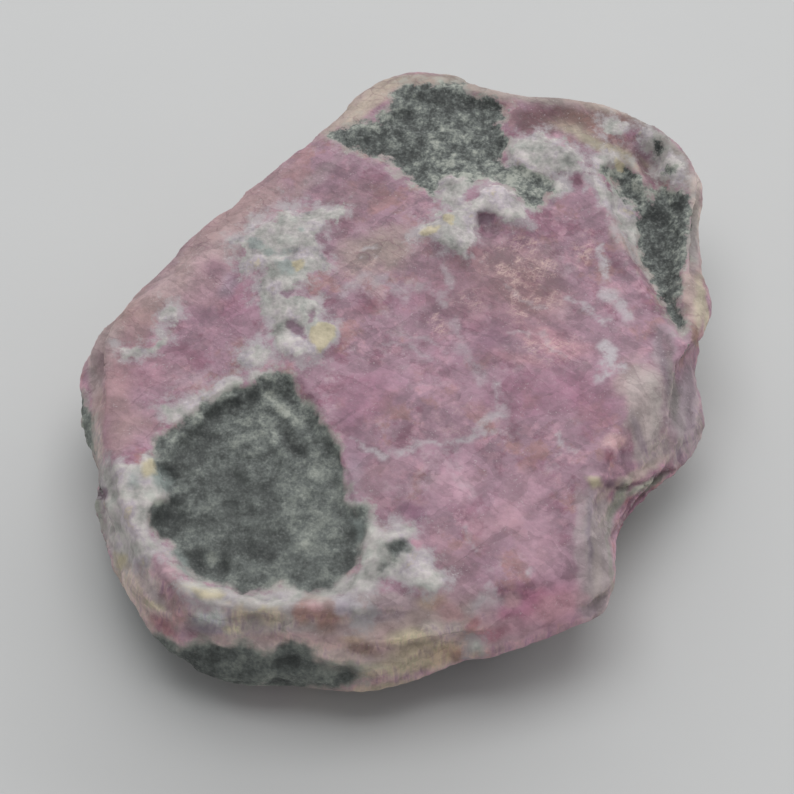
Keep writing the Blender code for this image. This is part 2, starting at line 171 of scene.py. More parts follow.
WHITE_MARKS = [
    [(355, 608), (368, 606), (375, 614), (368, 623), (356, 620)],
    [(160, 321), (166, 307), (178, 307), (179, 315), (171, 322)],
    [
        (117, 349), (130, 349), (150, 347), (160, 338), (158, 331), (166, 335), (166, 343), (156, 351),
        (140, 355), (127, 357),
    ],
]
CORAL_CRUST = [(556, 176), (566, 178), (566, 187), (556, 190)]
RED_CREAM = [(470, 640), (480, 640), (480, 652), (470, 652)]

# clear little crystals in the crust, pits and stains with a crisp edge
HONEY_SPOTS = [
    [(311, 328), (320, 322), (335, 326), (334, 336), (327, 346), (320, 352), (312, 342)],
    [(293, 262), (303, 258), (304, 268), (296, 273)],
    [(444, 214), (453, 216), (452, 223), (444, 222)],
    [(418, 233), (428, 227), (440, 226), (436, 234), (424, 236)],
    [(142, 462), (152, 460), (155, 472), (146, 476)],
    [(116, 553), (127, 556), (127, 565), (119, 566)],
    [(586, 477), (600, 478), (604, 488), (592, 488)],
    [(184, 585), (206, 589), (226, 594), (222, 599), (200, 599)],
    [(616, 158), (626, 163), (622, 172), (612, 168)],
]
TEAL_SPOTS = [
    [(245, 236), (254, 238), (268, 248), (282, 252), (296, 250), (282, 256), (266, 254), (252, 248)],
    [(274, 262), (287, 257), (292, 264), (296, 274), (285, 273)],
    [(150, 470), (160, 468), (172, 480), (166, 492), (156, 486)],
    [(129, 474), (136, 474), (137, 483), (130, 484)],
    [(176, 552), (186, 560), (190, 576), (182, 574)],
    [(298, 226), (304, 228), (300, 234)],
    [(352, 520), (362, 520), (368, 534), (360, 540)],
]
PLUM_SPOTS = [
    [(306, 311), (315, 309), (317, 316), (310, 322)],
    [(286, 321), (294, 320), (304, 328), (304, 337), (296, 336), (288, 328)],
    [(280, 293), (294, 291), (288, 298)],
    [(478, 213), (496, 214), (494, 221), (480, 225)],
    [(604, 480), (616, 480), (616, 488), (607, 489)],
    [(98, 491), (105, 491), (105, 498), (98, 498)],
    [(548, 200), (556, 199), (556, 206), (549, 206)],
]

# each kind's outlines, then size, threshold and seed of the noise that puts more of it out of sight
MARKS = {
    "mica": (
        [
            LARGE_MICA, BACK_MICA, SHELF_MICA, SHELF_HOLE, LOW_MICA, SIDE_MICA, SHELF_DOTS, MICA_ARM,
            PLATE_MICA,
        ],
        5.5, 0.26, 13.0,
    ),
    "crust": (
        [
            STAR_CRUST, STREAK_CRUST, STREAK_FOOT, BOOMERANG_CRUST, PALE_CRUST, BACK_CRUST, SHELF_CRUST,
            CORNER_CRUST, RIM_CRUST, LEFT_CRUST, LARGE_RIM, FRONT_RIM, PLATE_CRUST, CORAL_CRUST,
            RED_CREAM, *WHITE_MARKS,
        ],
        4.0, 0.22, 29.0,
    ),
    "honey": (HONEY_SPOTS, 1.4, 0.62, 37.0),
    "teal": (TEAL_SPOTS, 1.3, 0.62, 43.0),
    "plum": (PLUM_SPOTS, 1.6, 0.58, 53.0),
}

# ---- Broad stains of the ruby, and painted light and shade ----

MAUVE = "977886"
MAGENTA = "95647b"
ROSE = "a98697"
PLUM = "765467"
RUST = "8d6866"
TAN = "9a827f"
BROWN = "7e6058"
CREAM = "b3a796"
LILAC = "9a929e"
GREY_PINK = "a59899"
FLANK_MAUVE = "988b92"
FLANK_GREY = "aaa19d"
DARK_RED = "7c4653"
SALMON = "b38a8e"
GREEN_GREY = "878b80"
DUSK = "7f6669"
OLD_ROSE = "a58c8d"
STONE_GREY = "9a9593"
BUFF = "b5ae95"
OCHRE = "b09a84"
UMBER = "86695f"
WINE = "8d6068"
PALE_TAN = "b09d98"
PALE_ROSE = "b48f9d"
DARK_MAUVE = "786069"

# ovals on the plan: x, y, half length, half width, bearing in degrees, strength and colour
STAINS = [
    # the back left edge and the left corner: dusty brown pinks
    (200, 262, 130, 26, 38, 0.7, PALE_TAN), (112, 322, 34, 14, 50, 0.8, PALE_TAN),
    (96, 400, 60, 7, 92, 0.9, "a39493"), (98, 455, 30, 8, 95, 0.9, "ab9f9c"),
    (136, 430, 34, 18, 40, 0.6, "957e7a"), (130, 330, 46, 26, 40, 0.6, "9c7d79"),
    (115, 400, 44, 26, 90, 0.7, "9a7e7c"), (150, 372, 46, 24, 10, 0.35, SALMON),
    (255, 190, 70, 18, 38, 0.5, TAN), (345, 205, 50, 22, 30, 0.6, DUSK),
    (372, 252, 46, 30, 20, 0.8, "998983"), (235, 208, 60, 14, 38, 0.6, "9d8382"),
    (400, 240, 34, 28, 0, 0.5, "96867f"), (100, 350, 36, 20, 70, 0.5, GREY_PINK),
    (320, 175, 40, 10, 38, 0.5, GREY_PINK), (366, 309, 18, 8, 20, 0.6, DARK_RED),
    (118, 402, 14, 10, 0, 0.6, DUSK),
    # pinks of the left half
    (205, 285, 38, 24, 50, 0.7, "ad8b95"), (236, 305, 30, 24, 80, 0.6, MAGENTA),
    (180, 350, 60, 30, 30, 0.3, MAGENTA), (232, 330, 30, 16, 40, 0.35, ROSE),
    (214, 268, 12, 10, 0, 0.5, PLUM), (205, 318, 14, 8, 30, 0.4, PLUM), (228, 285, 16, 10, 60, 0.5, LILAC),
    (170, 395, 30, 14, 10, 0.4, ROSE),
    # the middle
    (370, 395, 40, 28, 30, 0.6, MAGENTA), (352, 440, 40, 20, 100, 0.5, PLUM),
    (470, 280, 64, 50, 20, 0.6, "86646b"), (536, 296, 50, 40, 0, 0.6, "8e6c6c"),
    (520, 262, 44, 20, 10, 0.35, TAN), (440, 360, 60, 26, 20, 0.4, ROSE),
    (530, 390, 60, 30, 20, 0.6, MAGENTA), (590, 400, 40, 34, 80, 0.6, MAGENTA),
    (460, 400, 40, 20, 20, 0.4, ROSE), (480, 350, 50, 14, 40, 0.4, PLUM),
    (556, 342, 46, 12, 350, 0.7, "b3858e"), (520, 358, 30, 8, 350, 0.6, "b58a90"),
    (610, 340, 40, 24, 60, 0.4, ROSE), (410, 300, 40, 12, 20, 0.4, MAGENTA),
    (440, 310, 30, 14, 80, 0.4, PLUM), (500, 330, 30, 12, 50, 0.4, PLUM), (572, 322, 24, 10, 30, 0.4, PLUM),
    (560, 240, 24, 14, 0, 0.3, PLUM), (520, 238, 18, 12, 0, 0.5, PLUM), (400, 380, 18, 10, 30, 0.4, ROSE),
    (620, 380, 26, 12, 80, 0.4, ROSE),
    # the front half: its stains, with painted light making it paler towards the front right
    (450, 480, 50, 36, 60, 0.5, ROSE), (408, 512, 16, 16, 0, 0.95, PLUM),
    (460, 485, 28, 20, 20, 0.7, PALE_ROSE), (520, 500, 50, 40, 60, 0.4, ROSE),
    (542, 550, 34, 26, 80, 0.7, PALE_ROSE), (525, 495, 36, 24, 60, 0.6, PALE_ROSE),
    (455, 565, 20, 18, 0, 0.7, DUSK), (470, 570, 36, 24, 30, 0.45, PLUM),
    (540, 610, 60, 30, 20, 0.65, "c18fa1"), (380, 480, 40, 26, 60, 0.5, DUSK),
    (528, 594, 20, 8, 320, 0.7, MAGENTA), (350, 480, 30, 16, 90, 0.4, LILAC),
    (436, 540, 24, 20, 80, 0.4, DUSK), (490, 530, 30, 20, 40, 0.35, SALMON),
    (560, 575, 30, 14, 90, 0.4, ROSE),
    # the back edge: its own stains, darkened as painted shade
    (345, 107, 46, 12, 43, 0.95, "a3948c"), (480, 88, 36, 9, 342, 0.95, "9b8d85"),
    (545, 118, 44, 18, 350, 0.98, "6b4c50"), (590, 122, 30, 10, 340, 0.8, "84695f"),
    (425, 80, 66, 9, 4, 0.95, "93877c"), (530, 94, 60, 8, 348, 0.95, "9b908a"),
    (370, 104, 44, 13, 42, 0.8, CREAM), (610, 112, 36, 12, 15, 0.8, BROWN),
    (648, 176, 26, 8, 118, 0.7, MAGENTA), (592, 200, 20, 16, 0, 0.4, MAUVE),
    (616, 126, 14, 8, 0, 0.5, DUSK), (560, 196, 16, 10, 0, 0.5, PLUM),
    # the right edge, the shelf and the flank under it
    (618, 236, 30, 12, 125, 0.5, CREAM), (612, 150, 60, 10, 335, 0.85, BUFF),
    (676, 170, 30, 12, 125, 0.85, OLD_ROSE), (596, 106, 40, 5, 345, 0.9, "8f8078"),
    (624, 112, 44, 6, 345, 0.95, "a3968d"), (660, 138, 40, 7, 318, 0.9, "918f88"),
    (682, 172, 26, 8, 118, 0.9, "8f8983"), (612, 136, 26, 8, 340, 0.85, RUST),
    (625, 122, 20, 6, 345, 0.7, BROWN), (640, 160, 26, 5, 122, 0.8, "866b72"),
    (646, 190, 12, 7, 110, 0.7, "876c74"), (664, 178, 14, 8, 0, 0.7, GREEN_GREY),
    (697, 212, 50, 7, 92, 0.95, "bfb3ab"), (694, 246, 34, 7, 90, 0.9, STONE_GREY),
    (693, 300, 34, 15, 95, 0.95, "b09c95"), (700, 300, 40, 6, 85, 0.7, BUFF),
    (694, 334, 14, 5, 105, 0.95, UMBER), (706, 325, 20, 3, 90, 0.8, BUFF),
    (650, 272, 64, 7, 123, 0.85, "a69b93"), (676, 320, 26, 6, 120, 0.8, STONE_GREY),
    (664, 345, 22, 14, 90, 0.85, FLANK_MAUVE), (666, 350, 20, 9, 100, 0.95, DARK_MAUVE),
    (636, 300, 40, 12, 125, 0.4, ROSE), (636, 395, 50, 16, 95, 0.6, PALE_TAN),
    (650, 412, 54, 24, 90, 0.95, FLANK_GREY), (642, 412, 40, 10, 95, 0.7, "b3a3a2"),
    (690, 415, 60, 20, 90, 0.95, FLANK_MAUVE), (652, 452, 26, 14, 20, 0.9, GREY_PINK),
    (690, 392, 34, 4, 90, 0.6, "7f7279"), (673, 392, 40, 6, 95, 0.8, "87837f"),
    (640, 436, 26, 5, 110, 0.8, "8a7d84"), (665, 368, 34, 5, 100, 0.8, "7d7078"),
    (680, 440, 30, 4, 80, 0.6, "a59c9c"), (702, 430, 26, 4, 95, 0.7, "9f9393"),
    (614, 442, 14, 10, 0, 0.95, "c09c9e"), (610, 459, 8, 8, 0, 0.7, DARK_RED),
    (597, 556, 88, 22, 92, 0.95, "9c9292"), (580, 550, 70, 5, 92, 0.7, "a8979c"),
    (590, 530, 46, 3, 90, 0.9, "877c84"), (598, 585, 50, 4, 93, 0.8, "a79c99"),
    (642, 506, 26, 8, 45, 0.8, PLUM), (632, 478, 40, 7, 30, 0.6, CREAM),
    (618, 500, 26, 5, 60, 0.9, "878a80"), (645, 486, 30, 5, 30, 0.9, "96998c"),
    (648, 500, 12, 4, 45, 0.9, "8a6676"), (611, 560, 50, 3, 94, 0.6, GREEN_GREY),
    (594, 612, 16, 12, 60, 0.5, FLANK_MAUVE),
    # the front edge: its stains painted paler as painted light where it lies in shade, with a dark strip
    # along its foot as painted shade
    (330, 650, 200, 34, 4, 0.9, "b2a39f"), (405, 686, 90, 9, 8, 0.95, "a89d8c"),
    (520, 612, 60, 22, 20, 0.5, "b98a9c"), (290, 612, 160, 26, 2, 0.85, STONE_GREY),
    (140, 600, 50, 20, 118, 0.85, "ad9b98"), (118, 540, 44, 14, 105, 0.85, "aaa5a2"),
    (126, 575, 34, 12, 112, 0.8, "b5a89f"), (420, 625, 90, 34, 12, 0.8, "b29e99"),
    (150, 580, 28, 12, 100, 0.85, "b3a9a8"), (122, 560, 8, 8, 0, 0.9, BUFF),
    (172, 600, 20, 12, 110, 0.7, DUSK), (164, 628, 18, 8, 130, 0.8, WINE), (176, 618, 8, 8, 0, 0.6, SALMON),
    (154, 606, 12, 4, 340, 0.7, BUFF), (196, 590, 22, 7, 345, 0.95, "c2bca6"),
    (218, 596, 20, 8, 350, 0.95, "a39d8c"), (262, 606, 26, 8, 5, 0.95, BUFF),
    (310, 598, 30, 5, 352, 0.8, "9f968f"), (208, 617, 18, 11, 0, 0.95, "b6babd"),
    (216, 630, 26, 6, 0, 0.8, LILAC), (242, 612, 16, 9, 40, 0.95, "ab9e90"),
    (232, 630, 10, 5, 0, 0.8, BUFF), (272, 616, 14, 10, 0, 0.8, CREAM),
    (302, 614, 9, 13, 0, 0.95, "8a6e68"), (324, 620, 22, 14, 350, 0.95, "8a6e67"),
    (316, 608, 10, 6, 0, 0.5, SALMON), (345, 606, 16, 12, 0, 0.7, LILAC), (330, 606, 6, 6, 0, 0.5, UMBER),
    (290, 638, 40, 6, 0, 0.8, OLD_ROSE), (336, 642, 22, 8, 0, 0.7, OLD_ROSE),
    (364, 650, 22, 8, 350, 0.95, "7b6760"), (345, 628, 12, 10, 0, 0.8, "a59394"),
    (352, 640, 14, 5, 0, 0.6, OCHRE), (386, 612, 16, 10, 0, 0.85, "a8999d"),
    (388, 640, 12, 18, 0, 0.7, OLD_ROSE), (395, 606, 30, 12, 15, 0.8, "a8949a"),
    (432, 602, 16, 8, 0, 0.7, OCHRE), (452, 612, 24, 10, 330, 0.6, SALMON),
    (453, 627, 14, 8, 30, 0.9, "b4a6a6"), (408, 637, 22, 10, 5, 0.98, "cbbfa7"),
    (432, 628, 12, 8, 0, 0.95, "b9ada8"), (420, 652, 34, 10, 10, 0.9, "b3a68f"),
    (442, 655, 20, 8, 30, 0.9, OCHRE), (456, 654, 7, 8, 0, 0.9, UMBER), (474, 648, 10, 10, 0, 0.8, CREAM),
    (390, 668, 60, 8, 12, 0.9, "a79c89"), (340, 668, 40, 5, 0, 0.7, GREEN_GREY),
    (492, 634, 20, 8, 12, 0.9, "a3727f"), (474, 624, 12, 6, 40, 0.9, "9c7276"),
    (490, 606, 12, 15, 60, 0.85, "b6a9ad"), (512, 604, 16, 10, 0, 0.5, LILAC),
    (524, 604, 40, 12, 15, 0.7, "ab6f87"), (512, 600, 10, 8, 0, 0.8, "b59297"),
    (290, 690, 70, 6, 2, 0.8, DUSK), (560, 606, 30, 14, 20, 0.5, SALMON),
    (470, 590, 26, 10, 30, 0.5, MAUVE), (170, 570, 16, 12, 100, 0.6, "ab9796"),
]

# stains on the sides out of sight: size, seed and threshold of their noise, and colour
HIDDEN_STAINS = [
    (7.0, 97.0, -0.5, "a3958f"),
    (5.0, 101.0, 0.0, TAN),
    (4.0, 103.0, 0.05, GREY_PINK),
    (3.5, 107.0, 0.1, FLANK_MAUVE),
    (3.0, 109.0, 0.2, RUST),
    (2.6, 113.0, 0.3, CREAM),
]

# ---- Tone with painted shade and light, and scratches ----

# partly their own tone, partly painted shade in crevices and painted light on crust that lies in shade
# lighter and darker clots in the mica and the crust: x, y, half length, half width, bearing, share
SHADES = [
    (200, 474, 28, 26, 0, -0.4), (166, 474, 16, 12, 60, -0.6), (158, 516, 16, 12, 0, -0.7),
    (178, 522, 12, 10, 0, -0.6), (200, 560, 18, 10, 90, -0.5), (224, 566, 9, 12, 0, -0.3),
    (212, 561, 9, 9, 0, 0.7), (236, 402, 34, 8, 32, -0.5), (205, 438, 26, 20, 30, -0.2),
    (258, 428, 26, 20, 30, 0.45), (300, 452, 9, 7, 50, -0.7), (290, 440, 20, 5, 130, -0.4),
    (322, 468, 20, 14, 40, 0.4), (306, 500, 38, 30, 90, 0.3), (250, 500, 32, 30, 0, -0.35),
    (238, 545, 22, 14, 0, -0.3), (262, 552, 16, 10, 0, -0.7), (322, 540, 26, 26, 0, 0.35),
    (350, 545, 20, 12, 90, -0.2), (352, 566, 10, 12, 0, -0.5), (322, 588, 14, 6, 0, -0.5),
    (270, 588, 20, 10, 0, 0.4), (282, 408, 28, 8, 318, 1.0), (278, 404, 22, 5, 318, 0.6),
    (190, 480, 14, 12, 0, 0.3), (222, 470, 20, 14, 0, 0.15), (330, 436, 20, 12, 60, -0.1),
    (288, 384, 12, 8, 0, -0.3), (176, 500, 10, 6, 0, -0.4), (215, 520, 20, 10, 20, -0.2),
    (350, 150, 22, 8, 335, -0.8), (372, 142, 18, 10, 0, -0.3), (402, 100, 10, 10, 0, -0.3),
    (432, 94, 22, 10, 0, -0.4), (474, 106, 16, 8, 20, -0.6), (400, 163, 36, 6, 325, -0.7),
    (442, 162, 26, 14, 20, 0.45), (420, 182, 14, 10, 320, 0.4), (455, 132, 26, 18, 0, 0.15),
    (494, 130, 20, 12, 90, -0.3), (520, 182, 22, 12, 0, 0.6), (544, 192, 14, 10, 0, 0.5),
    (490, 178, 24, 6, 0, 0.5), (656, 216, 12, 12, 0, -0.6), (650, 244, 18, 10, 60, -0.4),
    (681, 202, 8, 12, 0, -0.6), (670, 188, 14, 8, 0, 0.3), (676, 256, 14, 8, 90, -0.2),
    (616, 176, 22, 10, 30, 0.5), (634, 206, 10, 16, 0, 0.3), (657, 147, 12, 8, 90, -0.8),
    (664, 290, 24, 8, 118, -0.1), (205, 658, 26, 10, 10, -0.4), (205, 676, 20, 6, 10, -0.4),
    (288, 662, 18, 10, 0, -0.2), (240, 662, 20, 12, 0, 0.3), (320, 676, 16, 8, 0, 0.3),
    (170, 652, 12, 6, 30, -0.2), (265, 676, 14, 6, 0, 0.2), (372, 552, 9, 9, 0, 0.9),
    (394, 548, 12, 8, 30, -0.6), (388, 570, 14, 7, 330, -0.5), (426, 566, 16, 12, 0, 0.3),
    (440, 582, 10, 6, 0, 0.5), (280, 300, 20, 8, 0, -0.1), (300, 233, 24, 8, 0, 0.1),
    (255, 226, 10, 8, 0, 0.6), (328, 214, 16, 6, 350, 0.2), (262, 262, 16, 8, 0, 0.3),
    (290, 278, 14, 6, 0, 0.4), (300, 350, 20, 8, 0, 0.8), (284, 342, 8, 8, 0, 0.7),
    (272, 300, 24, 8, 80, -0.3), (300, 310, 20, 8, 0, -0.1), (488, 196, 14, 8, 30, 0.2),
    (492, 190, 20, 6, 315, 0.9), (500, 204, 20, 8, 330, 0.7), (516, 205, 12, 8, 40, 0.4),
    (470, 214, 10, 10, 0, 0.1), (456, 244, 10, 8, 0, -0.2), (460, 176, 22, 3, 5, 0.8),
    (446, 190, 12, 8, 80, -0.3), (520, 145, 20, 6, 20, 0.1), (560, 160, 20, 10, 20, -0.3),
    (548, 168, 20, 4, 10, 0.4), (490, 162, 10, 4, 45, 0.6), (588, 172, 20, 4, 90, 0.6),
    (612, 158, 20, 6, 15, 0.2), (618, 200, 22, 10, 130, 0.3), (630, 230, 20, 8, 122, 0.4),
    (128, 474, 22, 10, 20, 0.3), (118, 522, 36, 20, 100, 1.0), (250, 598, 60, 8, 0, -0.5),
    (150, 500, 16, 6, 0, 0.6), (232, 386, 26, 5, 28, 0.9), (186, 405, 20, 8, 0, 0.1),
    (102, 494, 6, 6, 0, -1.0), (210, 590, 24, 6, 10, 0.4), (287, 266, 14, 9, 0, -0.5),
    (545, 150, 20, 10, 0, -0.5), (580, 158, 14, 8, 0, -0.4), (460, 236, 12, 12, 0, -0.4),
    (430, 640, 30, 8, 350, 0.3), (410, 665, 30, 8, 350, -0.2), (562, 182, 8, 5, 0, 1.0),
]

# where the ruby is hatched with pale scratches: x, y, half length, half width, bearing, share
HATCHES = [
    (532, 282, 46, 30, 100, 1.0), (500, 262, 24, 14, 30, 0.8), (432, 326, 16, 14, 0, 0.9),
    (545, 345, 44, 18, 350, 0.6), (300, 300, 20, 10, 0, 0.2), (585, 250, 12, 20, 0, 0.8),
    (468, 300, 20, 14, 0, 0.5), (640, 262, 46, 8, 122, 0.7), (420, 212, 30, 16, 320, 0.3),
    (360, 270, 40, 14, 20, 0.4), (470, 420, 40, 20, 0, 0.3),
]

# ---- Lines ----

# pale veils and veins: points, half width in squares, strength
VEINS = [
    ([(350, 440), (375, 452), (403, 453), (437, 442), (468, 439), (485, 434), (506, 430)], 2.5, 0.75),
    ([(478, 432), (488, 420), (505, 412), (500, 398), (498, 384)], 5.0, 0.75),
    ([(255, 352), (268, 334), (272, 315), (262, 300), (268, 284)], 6.0, 0.6),
    ([(345, 290), (362, 282), (390, 284), (402, 296)], 6.0, 0.5),
    ([(404, 284), (428, 288), (452, 292)], 5.0, 0.45),
    ([(442, 256), (450, 276), (446, 300)], 5.0, 0.5),
    ([(455, 320), (466, 350), (480, 380)], 6.0, 0.4),
    ([(555, 434), (566, 445), (577, 453)], 2.0, 0.6),
    ([(446, 440), (458, 466), (470, 490)], 6.0, 0.35),
    ([(603, 348), (607, 360), (608, 374)], 8.0, 1.0),
    ([(621, 364), (624, 371)], 5.0, 0.9),
    ([(600, 250), (606, 264), (608, 278)], 4.0, 0.9),
    ([(604, 290), (616, 300), (626, 316)], 6.0, 0.8),
    ([(572, 300), (588, 308), (604, 320)], 3.0, 0.7),
    ([(471, 528), (468, 542), (476, 552)], 2.5, 0.5),
    ([(527, 569), (533, 572)], 3.5, 0.8),
    ([(488, 585), (494, 592)], 4.0, 0.6),
    ([(357, 614), (369, 617)], 7.0, 1.0),
    ([(366, 541), (384, 556)], 7.0, 0.9),
    ([(280, 346), (302, 350)], 5.0, 0.9),
    ([(478, 158), (486, 164), (492, 172)], 1.8, 0.8),
    ([(482, 137), (498, 142)], 2.5, 0.5),
    ([(556, 178), (566, 186)], 5.0, 0.9),
    ([(585, 160), (588, 176), (585, 186)], 2.5, 0.6),
    ([(606, 208), (628, 236), (640, 262), (656, 286), (668, 308)], 2.5, 0.6),
    ([(364, 247), (377, 245)], 1.5, 0.7),
    ([(367, 261), (376, 259)], 1.5, 0.6),
    ([(400, 333), (424, 338), (448, 352)], 2.0, 0.4),
    ([(384, 340), (410, 346), (430, 358)], 1.6, 0.4),
    ([(503, 288), (520, 300), (548, 306)], 1.6, 0.35),
    ([(512, 330), (540, 336), (566, 350)], 2.0, 0.4),
    ([(470, 612), (486, 596), (500, 600)], 6.0, 0.4),
]

# cracks and raised lips: points, half width in squares, depth or height in millimetres
CRACKS = [
    ([(276, 424), (288, 438), (301, 452)], 2.0, 0.14),
    ([(155, 447), (185, 419), (222, 394), (268, 379)], 3.0, 0.08),
    ([(153, 440), (158, 465), (172, 480)], 3.0, 0.20),
    ([(332, 455), (350, 480), (350, 500)], 3.0, 0.12),
    ([(247, 247), (270, 256), (295, 251)], 2.0, 0.15),
    ([(620, 490), (645, 482), (671, 469)], 2.0, 0.25),
    ([(616, 534), (630, 506), (650, 488)], 2.6, 0.30),
    ([(97, 485), (107, 540), (127, 597), (150, 640)], 2.6, 0.22),
    ([(596, 498), (594, 560), (598, 624)], 3.0, 0.10),
    ([(500, 300), (530, 306), (590, 312)], 1.2, 0.05),
]
LIPS = [
    ([(262, 398), (283, 411), (299, 430)], 4.5, 0.16),
    ([(604, 209), (627, 259), (652, 291), (675, 328)], 4.0, 0.10),
    ([(585, 478), (602, 476), (620, 484), (671, 466)], 4.0, 0.15),
]

# ---- Relief, in millimetres ----

MICA_DROP = 0.10
CRUST_RISE = 0.05
HONEY_RISE = 0.08
PLUM_DROP = 0.10
HIDDEN_SHARE = 0.4  # how strong the relief of the marks stays on the sides out of sight
BANK = 0.22  # width of the slope at the border of a mark
FAR = 2.0  # depths inside an outline are kept within this

# size, height and seed of each noise
SWELL = (3.2, 0.06, 11.0)
LUMPS = (1.1, 0.035, 17.0)
GRAIN = (0.42, 0.020, 3.0)
FINE_GRAIN = (0.55, 0.7, 5.0)  # its size and height are shares of the grain's
MICA_GRAIN, MICA_CLOTS = 0.028, ((1.9, 0.12, 20.9), (0.85, 0.06, 19.85))
CRUST_GRAIN, CRUST_LUMPS = 0.025, ((1.4, 0.06, 22.4), (0.7, 0.035, 21.7))
FLAKY_GRAIN = 0.6  # the fine grain's share in mica and crust
GROOVES = (0.45, 0.07, 61.0)
GROOVE_RUN = 7.0  # how much longer than wide a groove on the flanks is
CHIP_SIZE, CHIP_DEPTH, CHIP_LEVEL = 1.7, 0.04, 0.45
BROKEN_LINE = (1.1, 0.7, 0.6, 23.0)  # noise that breaks up a line: size, least, spread and seed

# noises that lead a border or a drawn place astray: size, reach and seed or seeds
BORDER_WANDER = ((1.5, 0.32, 7.0), (0.6, 0.26, 8.0))
SPOT_WANDER, SPOT_NOISE = 0.4, 2.0  # the share of it for marks whose noise is under this size
STRAYS = ((2.2, 1.0, (71.0, 79.0)), (0.7, 0.7, (83.0, 89.0)), (0.35, 0.35, (91.0, 93.0)))

# ---- Drawing on the plan, in squares ----

STAIN_STRAY = 9.0
SHADE_STRAY = 4.0
VEIN_STRAY = 7.0
LINE_STRAY = 3.5
NARROW = 11.0  # narrower stains stray as little as lines do
STAIN_EDGE = 3.0  # how sharply a stain out of sight begins
OVAL_EDGE = 1.4  # where an oval has faded out, in half widths
LINE_EDGE = 1.6  # where a line has faded out, in half widths

# ---- The skin ----

FOOT_DEPTH = 0.6 * MM
FOOT_TOLERANCE = 0.01 * MM
WELD = 0.001 * MM
SMOOTHING_ROUNDS = 16
IN_SIGHT = (-0.05, 0.2)  # cosine from the line of sight where the skin comes into sight, and the reach
FLANK = (0.72, 0.4)  # upright part of the normal where a flank begins, and the reach

# ---- Patterns in the stone ----

NOISES = {  # size in millimetres, detail and roughness
    "ragged": (0.80, 8.0, 0.72),
    "mottle": (1.00, 7.0, 0.62),
    "grains": (0.22, 3.0, 0.60),
    "flecks": (0.40, 4.0, 0.70),
    "clots": (0.90, 3.0, 0.50),
    "sparks": (0.13, 2.0, 0.60),
    "hazes": (0.90, 7.0, 0.72),
    "hue": (1.50, 5.0, 0.68),
    "plum cloud": (1.70, 6.0, 0.62),
    "rose cloud": (1.40, 6.0, 0.62),
    "lilac veil": (2.60, 8.0, 0.72),
    "rust cloud": (2.10, 6.0, 0.66),
}
PARTINGS = {  # turn in degrees, then width, length and stray in millimetres
    "left blades": (36.0, 0.75, 3.4, 0.7),
    "right blades": (-38.0, 0.60, 3.0, 0.7),
    "steep scratches": (70.0, 0.26, 2.2, 0.2),
    "low scratches": (20.0, 0.28, 2.4, 0.2),
    "falling scratches": (-25.0, 0.24, 2.0, 0.2),
}
PALE_SEAMS = ("left blades", "steep scratches", "low scratches", "falling scratches")
DARK_SEAMS = "right blades"
SEAM = (0.0, 0.07, 1.0, 0.0)  # a band from the edge of a blade, in its widths
PARTING_SWIRL = (1.2, 4.0)  # size in millimetres and detail
FLANK_STREAK = (0.30, 0.30, 3.0)  # sides of the upright streaks on the flanks, in millimetres
STREAK_DETAIL = 3.0

# what each pattern is the sum of, and the weight of each; rise adds painted shade in hollows and painted
# light on bumps
CENTRED = {*NOISES, *PARTINGS}  # these run about a half, and are added about their middle
FINE = {"grains": 1.0, "flecks": 0.8}
CLOTTED = {"clots": 0.75, "mottle": 0.5, "sparks": 0.22}
MICA = {"clotted": 1.0, "fine": 0.60, "shade": 0.20, "rise": 0.6, "rim": 1.0}
CHALK = {"clots": 0.6, "mottle": 0.8, "fine": 0.40, "shade": 0.15, "rise": 0.6}
BLADED = {"mottle": 0.9, "left blades": 0.24, "right blades": 0.24, "fine": 0.5, "rise": 0.7}
BUMPS = {"mottle": 1.2, "left blades": 0.22, "right blades": 0.22, "fine": 0.9}
STAIN_SPREAD = {"hazes": 0.8, "stain": 1.0}
CRUST_SPREAD = {"hazes": 4.0, "crust": 1.0}
MICA_SPREAD = {"hazes": 2.6, "mica": 1.0}

# clouds in the ruby: their noise, where they begin and are full, how strong, and their colour
CLOUDS = [
    ("plum cloud", 0.51, 0.62, 0.60, "7f4f62"),
    ("rose cloud", 0.52, 0.62, 0.65, "b78f9c"),
    ("rust cloud", 0.52, 0.63, 0.55, "99726b"),
    ("lilac veil", 0.54, 0.64, 0.45, "b2a0a6"),
]
# kind of mark, how far its border wanders and how soft it is, in millimetres, and how strong it is
EDGES = [
    ("crust", 2.2, 0.11, 0.92),
    ("mica", 2.2, 0.12, 1.0),
    ("teal", 1.6, 0.16, 0.8),
    ("honey", 0.9, 0.10, 0.85),
    ("plum", 1.0, 0.11, 0.85),
]

# ---- Colours of the stone ----

SEAM_COLOUR = "6b4558"
SCRATCH_COLOUR = "ccb0a8"
VEIL_COLOUR = "b5b0b4"
CRUST_HAZE = "aaa5a8"
MICA_FRINGE = "a09f97"
SPARK_COLOUR = "d0c8c9"
SPOT_COLOURS = [("teal", "89928f"), ("honey", "b1a78c"), ("plum", "7c6372")]

# place along a pattern, and the colour there
RAMPS = {
    "flank": [(0.32, "d8d0dc"), (0.42, "f4eef2"), (0.50, "fffaf4"), (0.58, "f0f4ea"), (0.68, "e2d8e0")],
    "mica": [(0.0, "2c302f"), (0.3, "484c4a"), (0.52, "5f6461"), (0.75, "7c817b"), (1.0, "a2a59c")],
    "crust": [(0.0, "7a7a79"), (0.25, "989896"), (0.5, "adabaa"), (0.75, "c2bfbe"), (1.0, "d9d5d3")],
    "hue": [(0.36, "e0e6e0"), (0.45, "f1f1ed"), (0.52, "f6f2f2"), (0.60, "e9e1ec"), (0.70, "f4ebd6")],
}

